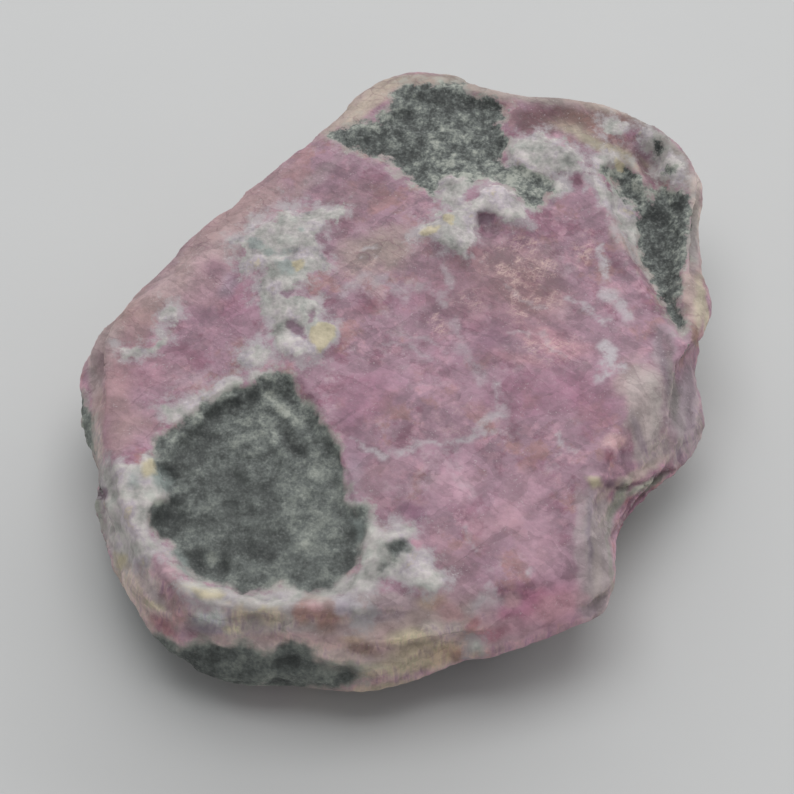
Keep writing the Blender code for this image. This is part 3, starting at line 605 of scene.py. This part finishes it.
# Bands turn a value into a strength: value where it begins and where it ends, strength at each.
FRONT_TO_BACK = (-14 * MM, 8 * MM, 0.45, 1.0)  # the front is worn smoother than the back
STAINED = (0.0, 0.9, 0.0, 0.95)
# how far the ruby's pattern lightens or darkens it: its own mottle and grain, painted light and shade on
# its blades, and painted shade in its hollows
PATTERN_LIGHT = (-0.3, 0.3, 0.72, 1.28)
FLANK_PAINTED_LIGHT = (0.0, 1.0, 1.0, 1.45)  # painted light: steep flanks are made paler than the top, to stand in for light reaching them
BACK_PAINTED_SHADE = (0.45, 1.0, 1.0, 0.90)  # painted shade: the back is a little darker than the front
FLAT_TOP = (0.1, 0.6, 1.0, 0.0)
UNWORN = (0.45, 1.0, 0.15, 1.0)
SEAMS_IN_PLUM = (0.46, 0.60, 0.0, 0.36)
SCRATCHES_IN_MOTTLE = (0.44, 0.60, 0.0, 0.45)
VEIL_PATCHES = (0.34, 0.58, 0.0, 0.85)
HAZE_BY_CRUST = (-0.7, 0.3, 0.0, 0.72)
FRINGE_BY_MICA = (-0.5, 0.1, 0.0, 0.6)
SPARKLE = (0.60, 0.70, 0.0, 0.3)
SPARKLE_PATCHES = (0.45, 0.6)
MICA_RIM = (0.0, 0.7, 0.10, 0.0)  # mica is a little paler near its border
MICA_TONES = (-0.31, 0.36)
CRUST_TONES = (-0.42, 0.38)
SPOT_LIGHT = (-0.3, 0.3, 0.75, 1.25)
RUBY_ROUGHNESS = (0.3, 0.7, 0.45, 0.70)
MICA_ROUGHNESS = (0.5, 0.65, 0.7, 0.34)  # the flakes that catch the light are smoother

FLANK_TINT = 0.9  # how far the streaks colour the flanks
CRUST_ROUGHNESS = 0.85
CORUNDUM_IOR = 1.76
WAXY_SHEEN = 0.2  # under the usual 0.5, as worn stone scatters much of its shine
STONE_BUMP = (0.5, 0.08 * MM)  # strength and height of the bumps too fine for the skin

# ---- The stage ----

CARD_CLOUD = (9.0 * MM, 3.0, 0.985, 1.015)  # faint clouds: size, detail, and least and most light
CARD_GRAIN = 0.6 * MM
CARD_BUMP = (0.1, 0.02 * MM)  # strength and height
CARD_ROUGHNESS = 0.9
CARD_SHEEN = 0.1
LIGHTS = [  # name, place and two sides in metres, power in watts
    ("softbox behind", (0.13, 0.44, 0.25), (1.20, 0.30), 2.35),
    ("softbox overhead", (0.0, 0.11, 0.51), (0.50, 0.40), 1.45),
]
ROOM_LIGHT = 0.36
SENSOR_WIDTH = 36.0  # millimetres
CLIP_START = 0.01


def linear(code):
    """An sRGB hex colour as linear red, green and blue."""
    channels = [int(code[i : i + 2], 16) / 255 for i in (0, 2, 4)]
    return [c / 12.92 if c <= 0.04045 else ((c + 0.055) / 1.055) ** 2.4 for c in channels]


class RubySettings(bpy.types.PropertyGroup):
    """Sizes and colours of the stone and its stage."""

    skin_step: FloatProperty(
        name="Skin Step", description="Spacing of the points on the stone's skin",
        default=0.17 * MM, min=0.1 * MM, max=1.0 * MM, unit="LENGTH", precision=5,
    )
    relief: FloatProperty(
        name="Relief", description="How strongly grain, mica and crust stand out", default=1.0,
        min=0.0, max=2.0, subtype="FACTOR",
    )
    ruby_colour: FloatVectorProperty(
        name="Ruby", description="Colour of the ruby between its stains", default=linear(MAUVE),
        size=3, min=0.0, max=1.0, subtype="COLOR",
    )
    floor_colour: FloatVectorProperty(
        name="Floor", description="Colour of the plain floor", default=linear("c5c6c6"),
        size=3, min=0.0, max=1.0, subtype="COLOR",
    )
    floor_width: FloatProperty(
        name="Floor Width", description="Width of the floor", default=1.2, min=0.2, unit="LENGTH",
    )


# ---- Fields over the stone's points ----


def smooth_step(value):
    value = np.clip(value, 0.0, 1.0)
    return value * value * (3 - 2 * value)


def noise_at(points, size, seed):
    """Smooth noise, about -1 to 1. A size is one length in millimetres, or one along each axis."""
    scaled = points / np.array(size) + seed
    return np.array([noise.noise(Vector(point)) for point in scaled])


def on_plan(points):
    """Where points, in millimetres, come on the plan of the marks, in squares."""
    rise, run = math.sin(SIGHT_RISE), math.cos(SIGHT_RISE)
    away = points * MM - np.array(AIM)
    squares = SIGHT_LENGTH / (SIGHT_LENGTH + away @ (0.0, run, -rise)) / PLAN_SQUARE
    across = PLAN_MIDDLE[0] + away[:, 0] * squares
    down = PLAN_MIDDLE[1] - (away @ (0.0, rise, run)) * squares
    return np.column_stack([across, down])


def gap_to_line(plan, line):
    """Distance from each place on the plan to a line through several corners."""
    nearest = np.full(len(plan), np.inf)
    for start, end in zip(line[:-1], line[1:]):
        run = end - start
        share = np.clip((plan - start) @ run / (run @ run), 0.0, 1.0)
        gap = np.hypot(*(plan - start - share[:, None] * run).T)
        nearest = np.minimum(nearest, gap)
    return nearest


def depth_inside(plan, outline):
    """Distance in millimetres from a closed outline on the plan, positive inside it."""
    corners = np.array(outline + outline[:1], float)
    far = FAR * MM / PLAN_SQUARE
    low, high = corners.min(axis=0) - far, corners.max(axis=0) + far
    near = np.all((plan > low) & (plan < high), axis=1)
    depth = np.full(len(plan), -FAR)
    spots = plan[near]
    inside = np.zeros(len(spots), bool)
    for (ax, ay), (bx, by) in zip(corners[:-1], corners[1:]):
        spans = (ay > spots[:, 1]) != (by > spots[:, 1])
        crossing = ax + (spots[:, 1] - ay) * (bx - ax) / ((by - ay) or 1e-9)
        inside ^= spans & (spots[:, 0] < crossing)
    gap = gap_to_line(spots, corners) * PLAN_SQUARE / MM
    depth[near] = np.clip(np.where(inside, gap, -gap), -FAR, FAR)
    return depth


def marks_at(points, seen):
    """Depth inside each kind of mark, in millimetres, at every point."""
    plan = on_plan(points)
    wander = sum(reach * noise_at(points, size, seed) for size, reach, seed in BORDER_WANDER)
    found = {}
    for kind, (outlines, size, threshold, seed) in MARKS.items():
        drawn = np.max([depth_inside(plan, outline) for outline in outlines], axis=0)
        scattered = np.clip((noise_at(points, size, seed) - threshold) * size, -FAR, FAR)
        share = SPOT_WANDER if size < SPOT_NOISE else 1.0
        found[kind] = drawn * seen + scattered * (1 - seen) + wander * share
    return found


def line_field(plan, lines):
    """The strongest of several soft lines at each place of the plan."""
    field = np.zeros(len(plan))
    for corners, half_width, strength in lines:
        gap = gap_to_line(plan, np.array(corners, float))
        field = np.maximum(field, strength * smooth_step(LINE_EDGE - gap / half_width))
    return field


def steepness(normals):
    """1 on the flanks, fading to 0 on the flat top."""
    begins, reach = FLANK
    return smooth_step((begins - np.abs(normals[:, 2])) / reach)


def waves(points, scale):
    """Noise of a scale's size and seed, as high as the scale says."""
    size, height, seed = scale
    return height * noise_at(points, size, seed)


def creased(points, scales):
    """Several scales of rounded clots with sharp creases between them."""
    return sum(height * (0.5 - 2 * np.abs(noise_at(points, size, seed))) for size, height, seed in scales)


def relief_at(points, normals, seen):
    """How far each point of the skin moves out, in millimetres."""
    size, height, seed = GRAIN
    fine_size, fine_share, fine_seed = FINE_GRAIN
    grain = noise_at(points, size, seed)
    fine = noise_at(points, size * fine_size, fine_seed)
    flaky = grain + FLAKY_GRAIN * fine
    rise = waves(points, SWELL) + waves(points, LUMPS) + height * (grain + fine_share * fine)

    kept = HIDDEN_SHARE + (1 - HIDDEN_SHARE) * seen
    depths = marks_at(points, seen)
    within = {kind: smooth_step(depth / BANK + 0.5) * kept for kind, depth in depths.items()}
    rise += within["mica"] * (creased(points, MICA_CLOTS) + MICA_GRAIN * flaky - MICA_DROP)
    rise += within["crust"] * (creased(points, CRUST_LUMPS) + CRUST_GRAIN * flaky + CRUST_RISE)
    rise += HONEY_RISE * within["honey"] - PLUM_DROP * within["plum"]

    plan = strayed_plan(points, LINE_STRAY)
    size, least, spread, seed = BROKEN_LINE
    broken = seen * (least + spread * noise_at(points, size, seed))
    rise += (line_field(plan, LIPS) - line_field(plan, CRACKS)) * broken

    size, height, seed = GROOVES
    grooves = noise_at(points, (size, size, size * GROOVE_RUN), seed)
    chips = np.array([noise.voronoi(Vector(point))[0][0] for point in points / CHIP_SIZE])
    rise += steepness(normals) * (height * grooves - CHIP_DEPTH * (chips - CHIP_LEVEL))
    return rise


def within_oval(plan, x, y, half_length, half_width, bearing):
    """1 in the middle of a turned oval on the plan, fading to 0 a little outside it."""
    turn = math.radians(bearing)
    away = plan - (x, y)
    along = (away @ (math.cos(turn), -math.sin(turn))) / half_length
    across = (away @ (math.sin(turn), math.cos(turn))) / half_width
    return smooth_step(OVAL_EDGE - np.hypot(along, across))


def strayed_plan(points, reach):
    """Places on the plan, drawn astray by noise so that an oval laid on it turns out ragged."""
    plan = on_plan(points)
    for size, share, seeds in STRAYS:
        plan += reach * share * np.column_stack([noise_at(points, size, seed) for seed in seeds])
    return plan


def tint_at(points, seen, base):
    """The colour of the stains at each point, linear, and how far they cover the ruby."""
    broad, narrow = strayed_plan(points, STAIN_STRAY), strayed_plan(points, LINE_STRAY)
    colour = np.column_stack([np.tile(np.array(base, float), (len(points), 1)), np.zeros(len(points))])
    amounts = []
    for *oval, strength, code in STAINS:
        plan = narrow if min(oval[2:4]) < NARROW else broad
        amounts.append((strength * seen * within_oval(plan, *oval), code))
    for size, seed, threshold, code in HIDDEN_STAINS:
        amount = smooth_step((noise_at(points, size, seed) - threshold) * STAIN_EDGE)
        amounts.append(((1 - seen) * amount, code))
    for amount, code in amounts:
        colour += (np.array([*linear(code), 1.0]) - colour) * amount[:, None]
    return colour


def shade_at(points, seen, ovals):
    """The sum of several ovals at each point, kept from -1 to 1."""
    plan = strayed_plan(points, SHADE_STRAY)
    shade = np.zeros(len(points))
    for *oval, share in ovals:
        shade += share * within_oval(plan, *oval)
    return np.clip(shade, -1, 1) * seen


# ---- Materials ----


def add(tree, kind, inputs, output=0, **settings):
    """Adds a node with its settings, links or sets its inputs, and returns one of its outputs."""
    node = tree.nodes.new("ShaderNode" + kind)
    for name, value in settings.items():
        setattr(node, name, value)
    for socket, value in inputs.items():
        if isinstance(value, bpy.types.NodeSocket):
            tree.links.new(value, node.inputs[socket])
        else:
            node.inputs[socket].default_value = value
    return node.outputs[output]


def blank(name):
    """A new material, its node tree, its shader and its Object coordinates."""
    material = bpy.data.materials.new(name)
    material.use_nodes = True
    tree = material.node_tree
    return material, tree, tree.nodes["Principled BSDF"], add(tree, "TexCoord", {}, "Object")


def total(tree, fields, weights):
    """The sum of fields, each times its weight, with those that run about a half taken about it."""
    found = -sum(weight for name, weight in weights.items() if name in CENTRED) / 2
    for name, weight in weights.items():
        found = add(tree, "Math", {0: fields[name], 1: weight, 2: found}, operation="MULTIPLY_ADD")
    return found


def strength(tree, *parts):
    """The product of several values. One that is first in a tuple goes through the band that follows it."""
    found = None
    for part in parts:
        if isinstance(part, tuple):
            part = add(tree, "MapRange", dict(enumerate(part)), interpolation_type="SMOOTHSTEP")
        found = part if found is None else add(tree, "Math", {0: found, 1: part}, operation="MULTIPLY")
    return found


def covered(tree, under, colour, *parts):
    """A colour, or a hex code, laid over another as strongly as the parts say."""
    over = (*linear(colour), 1) if isinstance(colour, str) else colour
    return add(tree, "Mix", {0: strength(tree, *parts), 6: under, 7: over}, 2, data_type="RGBA")


def partings(tree, place):
    """Long cells in several directions: the tone of each cell, and the seams between the cells."""
    size, detail = PARTING_SWIRL
    swirl = add(tree, "TexNoise", {"Vector": place, "Scale": 1 / (size * MM), "Detail": detail}, "Color")
    tones, seams = {}, {}
    for name, (turn, across, along, stray) in PARTINGS.items():
        strayed = add(
            tree, "VectorMath", {0: swirl, 1: (stray * MM,) * 3, 2: place}, operation="MULTIPLY_ADD"
        )
        sides = (along * MM, across * MM, across * MM)
        turned = add(
            tree, "Mapping", {"Vector": strayed, "Rotation": (0, 0, math.radians(turn)), "Scale": sides},
            vector_type="TEXTURE",
        )
        cells = {"Vector": turned, "Scale": 1.0}
        edge = add(tree, "TexVoronoi", cells, "Distance", feature="DISTANCE_TO_EDGE")
        seams[name] = strength(tree, (edge, *SEAM))
        if name in BLADED:
            tones[name] = add(tree, "TexVoronoi", cells, "Color")
    return tones, seams


def patterns(tree, place):
    """Every field that the stone's colours are made from, and the seams in it."""
    fields = {}
    for name, (size, detail, roughness) in NOISES.items():
        noisy = {"Vector": place, "Scale": 1 / (size * MM), "Detail": detail, "Roughness": roughness}
        fields[name] = add(tree, "TexNoise", noisy)
    for name in ("veil", "shade", "rise", "steep", "hatch", *MARKS):
        fields[name] = add(tree, "Attribute", {}, "Fac", attribute_name=name)
    fields["tint"] = add(tree, "Attribute", {}, "Color", attribute_name="tint")
    fields["stain"] = fields["tint"].node.outputs["Alpha"]
    tones, seams = partings(tree, place)
    fields.update(tones)
    fields["crisp"] = strength(tree, (add(tree, "SeparateXYZ", {0: place}, "Y"), *FRONT_TO_BACK))
    fields["fine"] = strength(tree, total(tree, fields, FINE), fields["crisp"])
    fields["clotted"] = strength(tree, total(tree, fields, CLOTTED), fields["crisp"])
    fields["rim"] = strength(tree, (fields["mica"], *MICA_RIM))
    fields["chalk"] = total(tree, fields, CHALK)
    return fields, seams


def ramp_colours(tree, fields, place):
    """The colours that run along a pattern: streaks on the flanks, mica, crust, and the crust's hues."""
    sides = [side * MM for side in FLANK_STREAK]
    streaks = add(tree, "Mapping", {"Vector": place, "Scale": sides}, vector_type="TEXTURE")
    along = {
        "flank": add(tree, "TexNoise", {"Vector": streaks, "Scale": 1.0, "Detail": STREAK_DETAIL}),
        "mica": strength(tree, (total(tree, fields, MICA), *MICA_TONES)),
        "crust": strength(tree, (fields["chalk"], *CRUST_TONES)),
        "hue": fields["hue"],
    }
    colours = {}
    for kind, stops in RAMPS.items():
        colours[kind] = add(tree, "ValToRGB", {"Fac": along[kind]}, "Color")
        elements = colours[kind].node.color_ramp.elements
        while len(elements) < len(stops):
            elements.new(0.5)
        for element, (position, code) in zip(elements, stops):
            element.position = position
            element.color = (*linear(code), 1)
    return colours


def ruby_surface(tree, fields, seams, streaks, colour):
    """Ruby with clouds, stains, seams, scratches and veils, and painted light and shade on its blades and
    relief.
    """
    ruby = (*colour, 1)
    for name, low, high, most, code in CLOUDS:
        ruby = covered(tree, ruby, code, (fields[name], low, high, 0.0, most))
    ruby = covered(tree, ruby, fields["tint"], (total(tree, fields, STAIN_SPREAD), *STAINED))
    ruby = add(
        tree, "Mix", {0: strength(tree, fields["steep"], FLANK_TINT), 6: ruby, 7: streaks}, 2,
        data_type="RGBA", blend_type="MULTIPLY",
    )
    brightness = strength(
        tree, (total(tree, fields, BLADED), *PATTERN_LIGHT), (fields["steep"], *FLANK_PAINTED_LIGHT),
        (fields["crisp"], *BACK_PAINTED_SHADE),
    )
    ruby = add(tree, "VectorMath", {0: ruby, "Scale": brightness}, operation="SCALE")

    flat = strength(tree, (fields["steep"], *FLAT_TOP), (fields["crisp"], *UNWORN))
    plum = (fields["plum cloud"], *SEAMS_IN_PLUM)
    ruby = covered(tree, ruby, SEAM_COLOUR, seams[DARK_SEAMS], flat, plum)
    for name in PALE_SEAMS:
        mottle = (fields["mottle"], *SCRATCHES_IN_MOTTLE)
        ruby = covered(tree, ruby, SCRATCH_COLOUR, seams[name], fields["hatch"], mottle)
    ruby = covered(tree, ruby, VEIL_COLOUR, fields["veil"], (fields["hazes"], *VEIL_PATCHES))
    ruby = covered(tree, ruby, CRUST_HAZE, (total(tree, fields, CRUST_SPREAD), *HAZE_BY_CRUST))
    ruby = covered(tree, ruby, MICA_FRINGE, (total(tree, fields, MICA_SPREAD), *FRINGE_BY_MICA))
    return covered(
        tree, ruby, SPARK_COLOUR, (fields["sparks"], *SPARKLE), (fields["hazes"], *SPARKLE_PATCHES)
    )


def give_bumps(tree, shader, height, bump):
    """Gives the shader the fine bumps of a pattern."""
    strong, deep = bump
    normal = add(tree, "Bump", {"Height": height, "Strength": strong, "Distance": deep})
    tree.links.new(normal, shader.inputs["Normal"])


def stone_material(settings):
    """Ruby in mica schist, frosted by wear.

    Corundum is hard and keeps a faint waxy sheen, with paler grains and scratches in it. The mica is
    dark and granular, with small bright flakes. The crust is chalky."""
    material, tree, shader, place = blank("worn ruby with mica and chalky crust")
    fields, seams = patterns(tree, place)
    colours = ramp_colours(tree, fields, place)
    surface = ruby_surface(tree, fields, seams, colours["flank"], settings.ruby_colour)

    masks = {}
    for kind, wander, softness, most in EDGES:
        stray = strength(tree, total(tree, fields, {"ragged": wander}), fields["crisp"])
        depth = strength(tree, add(tree, "Math", {0: fields[kind], 1: stray}), fields["crisp"])
        masks[kind] = strength(tree, (depth, -softness, softness, 0.0, most))
    crust = add(
        tree, "Mix", {0: 1.0, 6: colours["crust"], 7: colours["hue"]}, 2, data_type="RGBA",
        blend_type="MULTIPLY",
    )
    surface = covered(tree, surface, crust, masks["crust"])
    surface = covered(tree, surface, colours["mica"], masks["mica"])
    light = strength(tree, (fields["chalk"], *SPOT_LIGHT))
    for kind, code in SPOT_COLOURS:
        spot = add(tree, "VectorMath", {0: linear(code), "Scale": light}, operation="SCALE")
        surface = covered(tree, surface, spot, masks[kind])
    tree.links.new(surface, shader.inputs["Base Color"])

    rough = strength(tree, (fields["grains"], *RUBY_ROUGHNESS))
    rough = add(tree, "Mix", {0: masks["crust"], 2: rough, 3: CRUST_ROUGHNESS})
    glint = strength(tree, (fields["sparks"], *MICA_ROUGHNESS))
    rough = add(tree, "Mix", {0: masks["mica"], 2: rough, 3: glint})
    tree.links.new(rough, shader.inputs["Roughness"])
    shader.inputs["IOR"].default_value = CORUNDUM_IOR
    shader.inputs["Specular IOR Level"].default_value = WAXY_SHEEN
    give_bumps(tree, shader, total(tree, fields, BUMPS), STONE_BUMP)
    return material


def floor_material(settings):
    """Matt white card, which gives a soft, even ground with no shine."""
    material, tree, shader, place = blank("matt white card")
    size, detail, least, most = CARD_CLOUD
    cloud = add(tree, "TexNoise", {"Vector": place, "Scale": 1 / size, "Detail": detail})
    light = add(tree, "MapRange", {"Value": cloud, "To Min": least, "To Max": most})
    colour = add(tree, "VectorMath", {0: tuple(settings.floor_colour), "Scale": light}, operation="SCALE")
    tree.links.new(colour, shader.inputs["Base Color"])
    shader.inputs["Roughness"].default_value = CARD_ROUGHNESS
    shader.inputs["Specular IOR Level"].default_value = CARD_SHEEN
    give_bumps(tree, shader, add(tree, "TexNoise", {"Vector": place, "Scale": 1 / CARD_GRAIN}), CARD_BUMP)
    return material


# ---- Meshes ----


def applied(piece):
    """Gives a piece its evaluated mesh, and clears its modifiers."""
    graph = bpy.context.evaluated_depsgraph_get()
    mesh = bpy.data.meshes.new_from_object(piece.evaluated_get(graph))
    old = piece.data
    piece.modifiers.clear()
    piece.data = mesh
    bpy.data.meshes.remove(old)


def skin_of(node, step):
    """A finer, even skin over a copy of the solid, carried down below the ground for the last cut."""
    shape = bmesh.new()
    shape.from_mesh(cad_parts[node].data)
    bmesh.ops.remove_doubles(shape, verts=shape.verts, dist=WELD)
    foot = [vertex for vertex in shape.verts if vertex.co.z < FOOT_TOLERANCE]
    bmesh.ops.translate(shape, verts=foot, vec=(0, 0, -FOOT_DEPTH))
    mesh = bpy.data.meshes.new("ruby_stone")
    shape.to_mesh(mesh)
    shape.free()
    piece = bpy.data.objects.new("ruby_stone", mesh)
    bpy.context.scene.collection.objects.link(piece)
    rounded = piece.modifiers.new("Worn", "SUBSURF")
    rounded.levels = rounded.render_levels = 1
    remesh = piece.modifiers.new("Even skin", "REMESH")
    remesh.mode = "VOXEL"
    remesh.voxel_size = step
    applied(piece)
    return piece


def points_and_normals(mesh):
    """Every point in millimetres, and its normal."""
    count = len(mesh.vertices)
    points, normals = np.empty(count * 3), np.empty(count * 3)
    mesh.vertices.foreach_get("co", points)
    mesh.vertex_normals.foreach_get("vector", normals)
    return points.reshape(-1, 3) / MM, normals.reshape(-1, 3)


def in_sight(normals):
    """1 where the skin faces the line of sight, and 0 where it is turned away."""
    towards = (0.0, -math.cos(SIGHT_RISE), math.sin(SIGHT_RISE))
    begins, reach = IN_SIGHT
    return smooth_step((normals @ towards - begins) / reach)


def carve(mesh, relief):
    """Gives the skin its relief, kept within the solid's box."""
    points, normals = points_and_normals(mesh)
    rise = relief_at(points, normals, in_sight(normals)) * relief
    moved = points + normals * rise[:, None]
    low, high = (np.array(corner) / MM for corner in CAD_BOX)
    low[2] = -np.inf
    mesh.vertices.foreach_set("co", (np.clip(moved, low, high) * MM).ravel())
    mesh.update()


def standing_out(mesh):
    """How far each point stands out of its surroundings, in millimetres."""
    points, normals = points_and_normals(mesh)
    ends = np.empty(len(mesh.edges) * 2, int)
    mesh.edges.foreach_get("vertices", ends)
    first, second = ends.reshape(-1, 2).T
    count = np.bincount(ends)
    smooth = points.T
    for _ in range(SMOOTHING_ROUNDS):
        smooth = np.array([
            np.bincount(first, axis[second], len(points)) + np.bincount(second, axis[first], len(points))
            for axis in smooth
        ]) / count
    return ((points - smooth.T) * normals).sum(axis=1)


def cut_foot(mesh):
    """Cuts the stone off flat at the ground."""
    shape = bmesh.new()
    shape.from_mesh(mesh)
    everything = shape.verts[:] + shape.edges[:] + shape.faces[:]
    cut = bmesh.ops.bisect_plane(
        shape, geom=everything, plane_co=(0, 0, 0), plane_no=(0, 0, -1), clear_outer=True
    )
    rim = [item for item in cut["geom_cut"] if isinstance(item, bmesh.types.BMEdge)]
    foot = bmesh.ops.contextual_create(shape, geom=rim)["faces"]
    for face in shape.faces:
        face.smooth = True
    for face in bmesh.ops.triangulate(shape, faces=foot)["faces"]:
        face.smooth = False
    shape.to_mesh(mesh)
    shape.free()


def give(mesh, name, values, kind):
    """Stores one value at every point, for the material to read."""
    attribute = mesh.attributes.new(name, kind, "POINT")
    field = "color" if kind == "FLOAT_COLOR" else "value"
    attribute.data.foreach_set(field, np.asarray(values, np.float32).ravel())


class RUBY_OT_stone(bpy.types.Operator):
    """Builds the ruby crystal over its solid"""

    bl_idname = "ruby.stone"
    bl_label = "Ruby Crystal"

    def execute(self, context):
        settings = context.scene.ruby
        stone = skin_of(NODE, settings.skin_step)
        carve(stone.data, settings.relief)
        # painted shade and light: how far each point stands out, which the material turns into darker
        # hollows and paler bumps
        give(stone.data, "rise", standing_out(stone.data), "FLOAT")
        cut_foot(stone.data)
        points, normals = points_and_normals(stone.data)
        seen = in_sight(normals)
        fields = {
            **marks_at(points, seen),
            "veil": line_field(strayed_plan(points, VEIN_STRAY), VEINS) * seen,
            "shade": shade_at(points, seen, SHADES),
            "hatch": shade_at(points, seen, HATCHES),
            "steep": steepness(normals),
        }
        for name, values in fields.items():
            give(stone.data, name, values, "FLOAT")
        give(stone.data, "tint", tint_at(points, seen, settings.ruby_colour), "FLOAT_COLOR")
        stone.data.materials.append(stone_material(settings))
        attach(stone, "root")
        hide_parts(NODE)
        return {"FINISHED"}


def add_light(name, place, sides, power):
    """A soft oblong light turned to the stone."""
    light = bpy.data.lights.new(name, "AREA")
    light.shape = "RECTANGLE"
    light.size, light.size_y = sides
    light.energy = power
    lamp = bpy.data.objects.new(name, light)
    lamp.location = place
    lamp.rotation_euler = (-Vector(place)).to_track_quat("-Z", "Y").to_euler()
    bpy.context.scene.collection.objects.link(lamp)


class RUBY_OT_stage(bpy.types.Operator):
    """Builds the floor, the lights and the camera"""

    bl_idname = "ruby.stage"
    bl_label = "Floor, Lights and Camera"

    def execute(self, context):
        settings = context.scene.ruby
        shape = bmesh.new()
        bmesh.ops.create_grid(shape, x_segments=1, y_segments=1, size=settings.floor_width / 2)
        mesh = bpy.data.meshes.new("floor")
        shape.to_mesh(mesh)
        shape.free()
        mesh.materials.append(floor_material(settings))
        floor = bpy.data.objects.new("floor", mesh)
        context.scene.collection.objects.link(floor)

        for name, place, sides, power in LIGHTS:
            add_light(name, place, sides, power)
        world = bpy.data.worlds.new("plain studio")
        world.use_nodes = True
        background = world.node_tree.nodes["Background"]
        background.inputs["Color"].default_value = (1, 1, 1, 1)
        background.inputs["Strength"].default_value = ROOM_LIGHT
        context.scene.world = world

        lens = bpy.data.cameras.new("camera")
        lens.sensor_width = SENSOR_WIDTH
        lens.lens = lens.sensor_width * SIGHT_LENGTH / (PLAN_WIDTH * PLAN_SQUARE)
        lens.clip_start = CLIP_START
        camera = bpy.data.objects.new("camera", lens)
        sight = Vector((0, math.cos(SIGHT_RISE), -math.sin(SIGHT_RISE)))
        camera.location = AIM - sight * SIGHT_LENGTH
        camera.rotation_euler = sight.to_track_quat("-Z", "Y").to_euler()
        context.scene.collection.objects.link(camera)
        context.scene.camera = camera
        context.scene.view_settings.view_transform = "Standard"
        return {"FINISHED"}


class RUBY_PT_panel(bpy.types.Panel):
    """Lists the settings and the pieces"""

    bl_label = "Raw Ruby Crystal"
    bl_idname = "RUBY_PT_panel"
    bl_space_type = "VIEW_3D"
    bl_region_type = "UI"
    bl_category = "Ruby"

    def draw(self, context):
        for name in RubySettings.__annotations__:
            self.layout.prop(context.scene.ruby, name)
        for operator in OPERATORS:
            self.layout.operator(operator.bl_idname)


OPERATORS = (RUBY_OT_stone, RUBY_OT_stage)
CLASSES = (RubySettings, *OPERATORS, RUBY_PT_panel)


def register():
    for made in CLASSES:
        bpy.utils.register_class(made)
    bpy.types.Scene.ruby = PointerProperty(type=RubySettings)


def unregister():
    del bpy.types.Scene.ruby
    for made in reversed(CLASSES):
        bpy.utils.unregister_class(made)


def main():
    register()
    bpy.ops.ruby.stone()
    bpy.ops.ruby.stage()


if __name__ == "__main__":
    main()
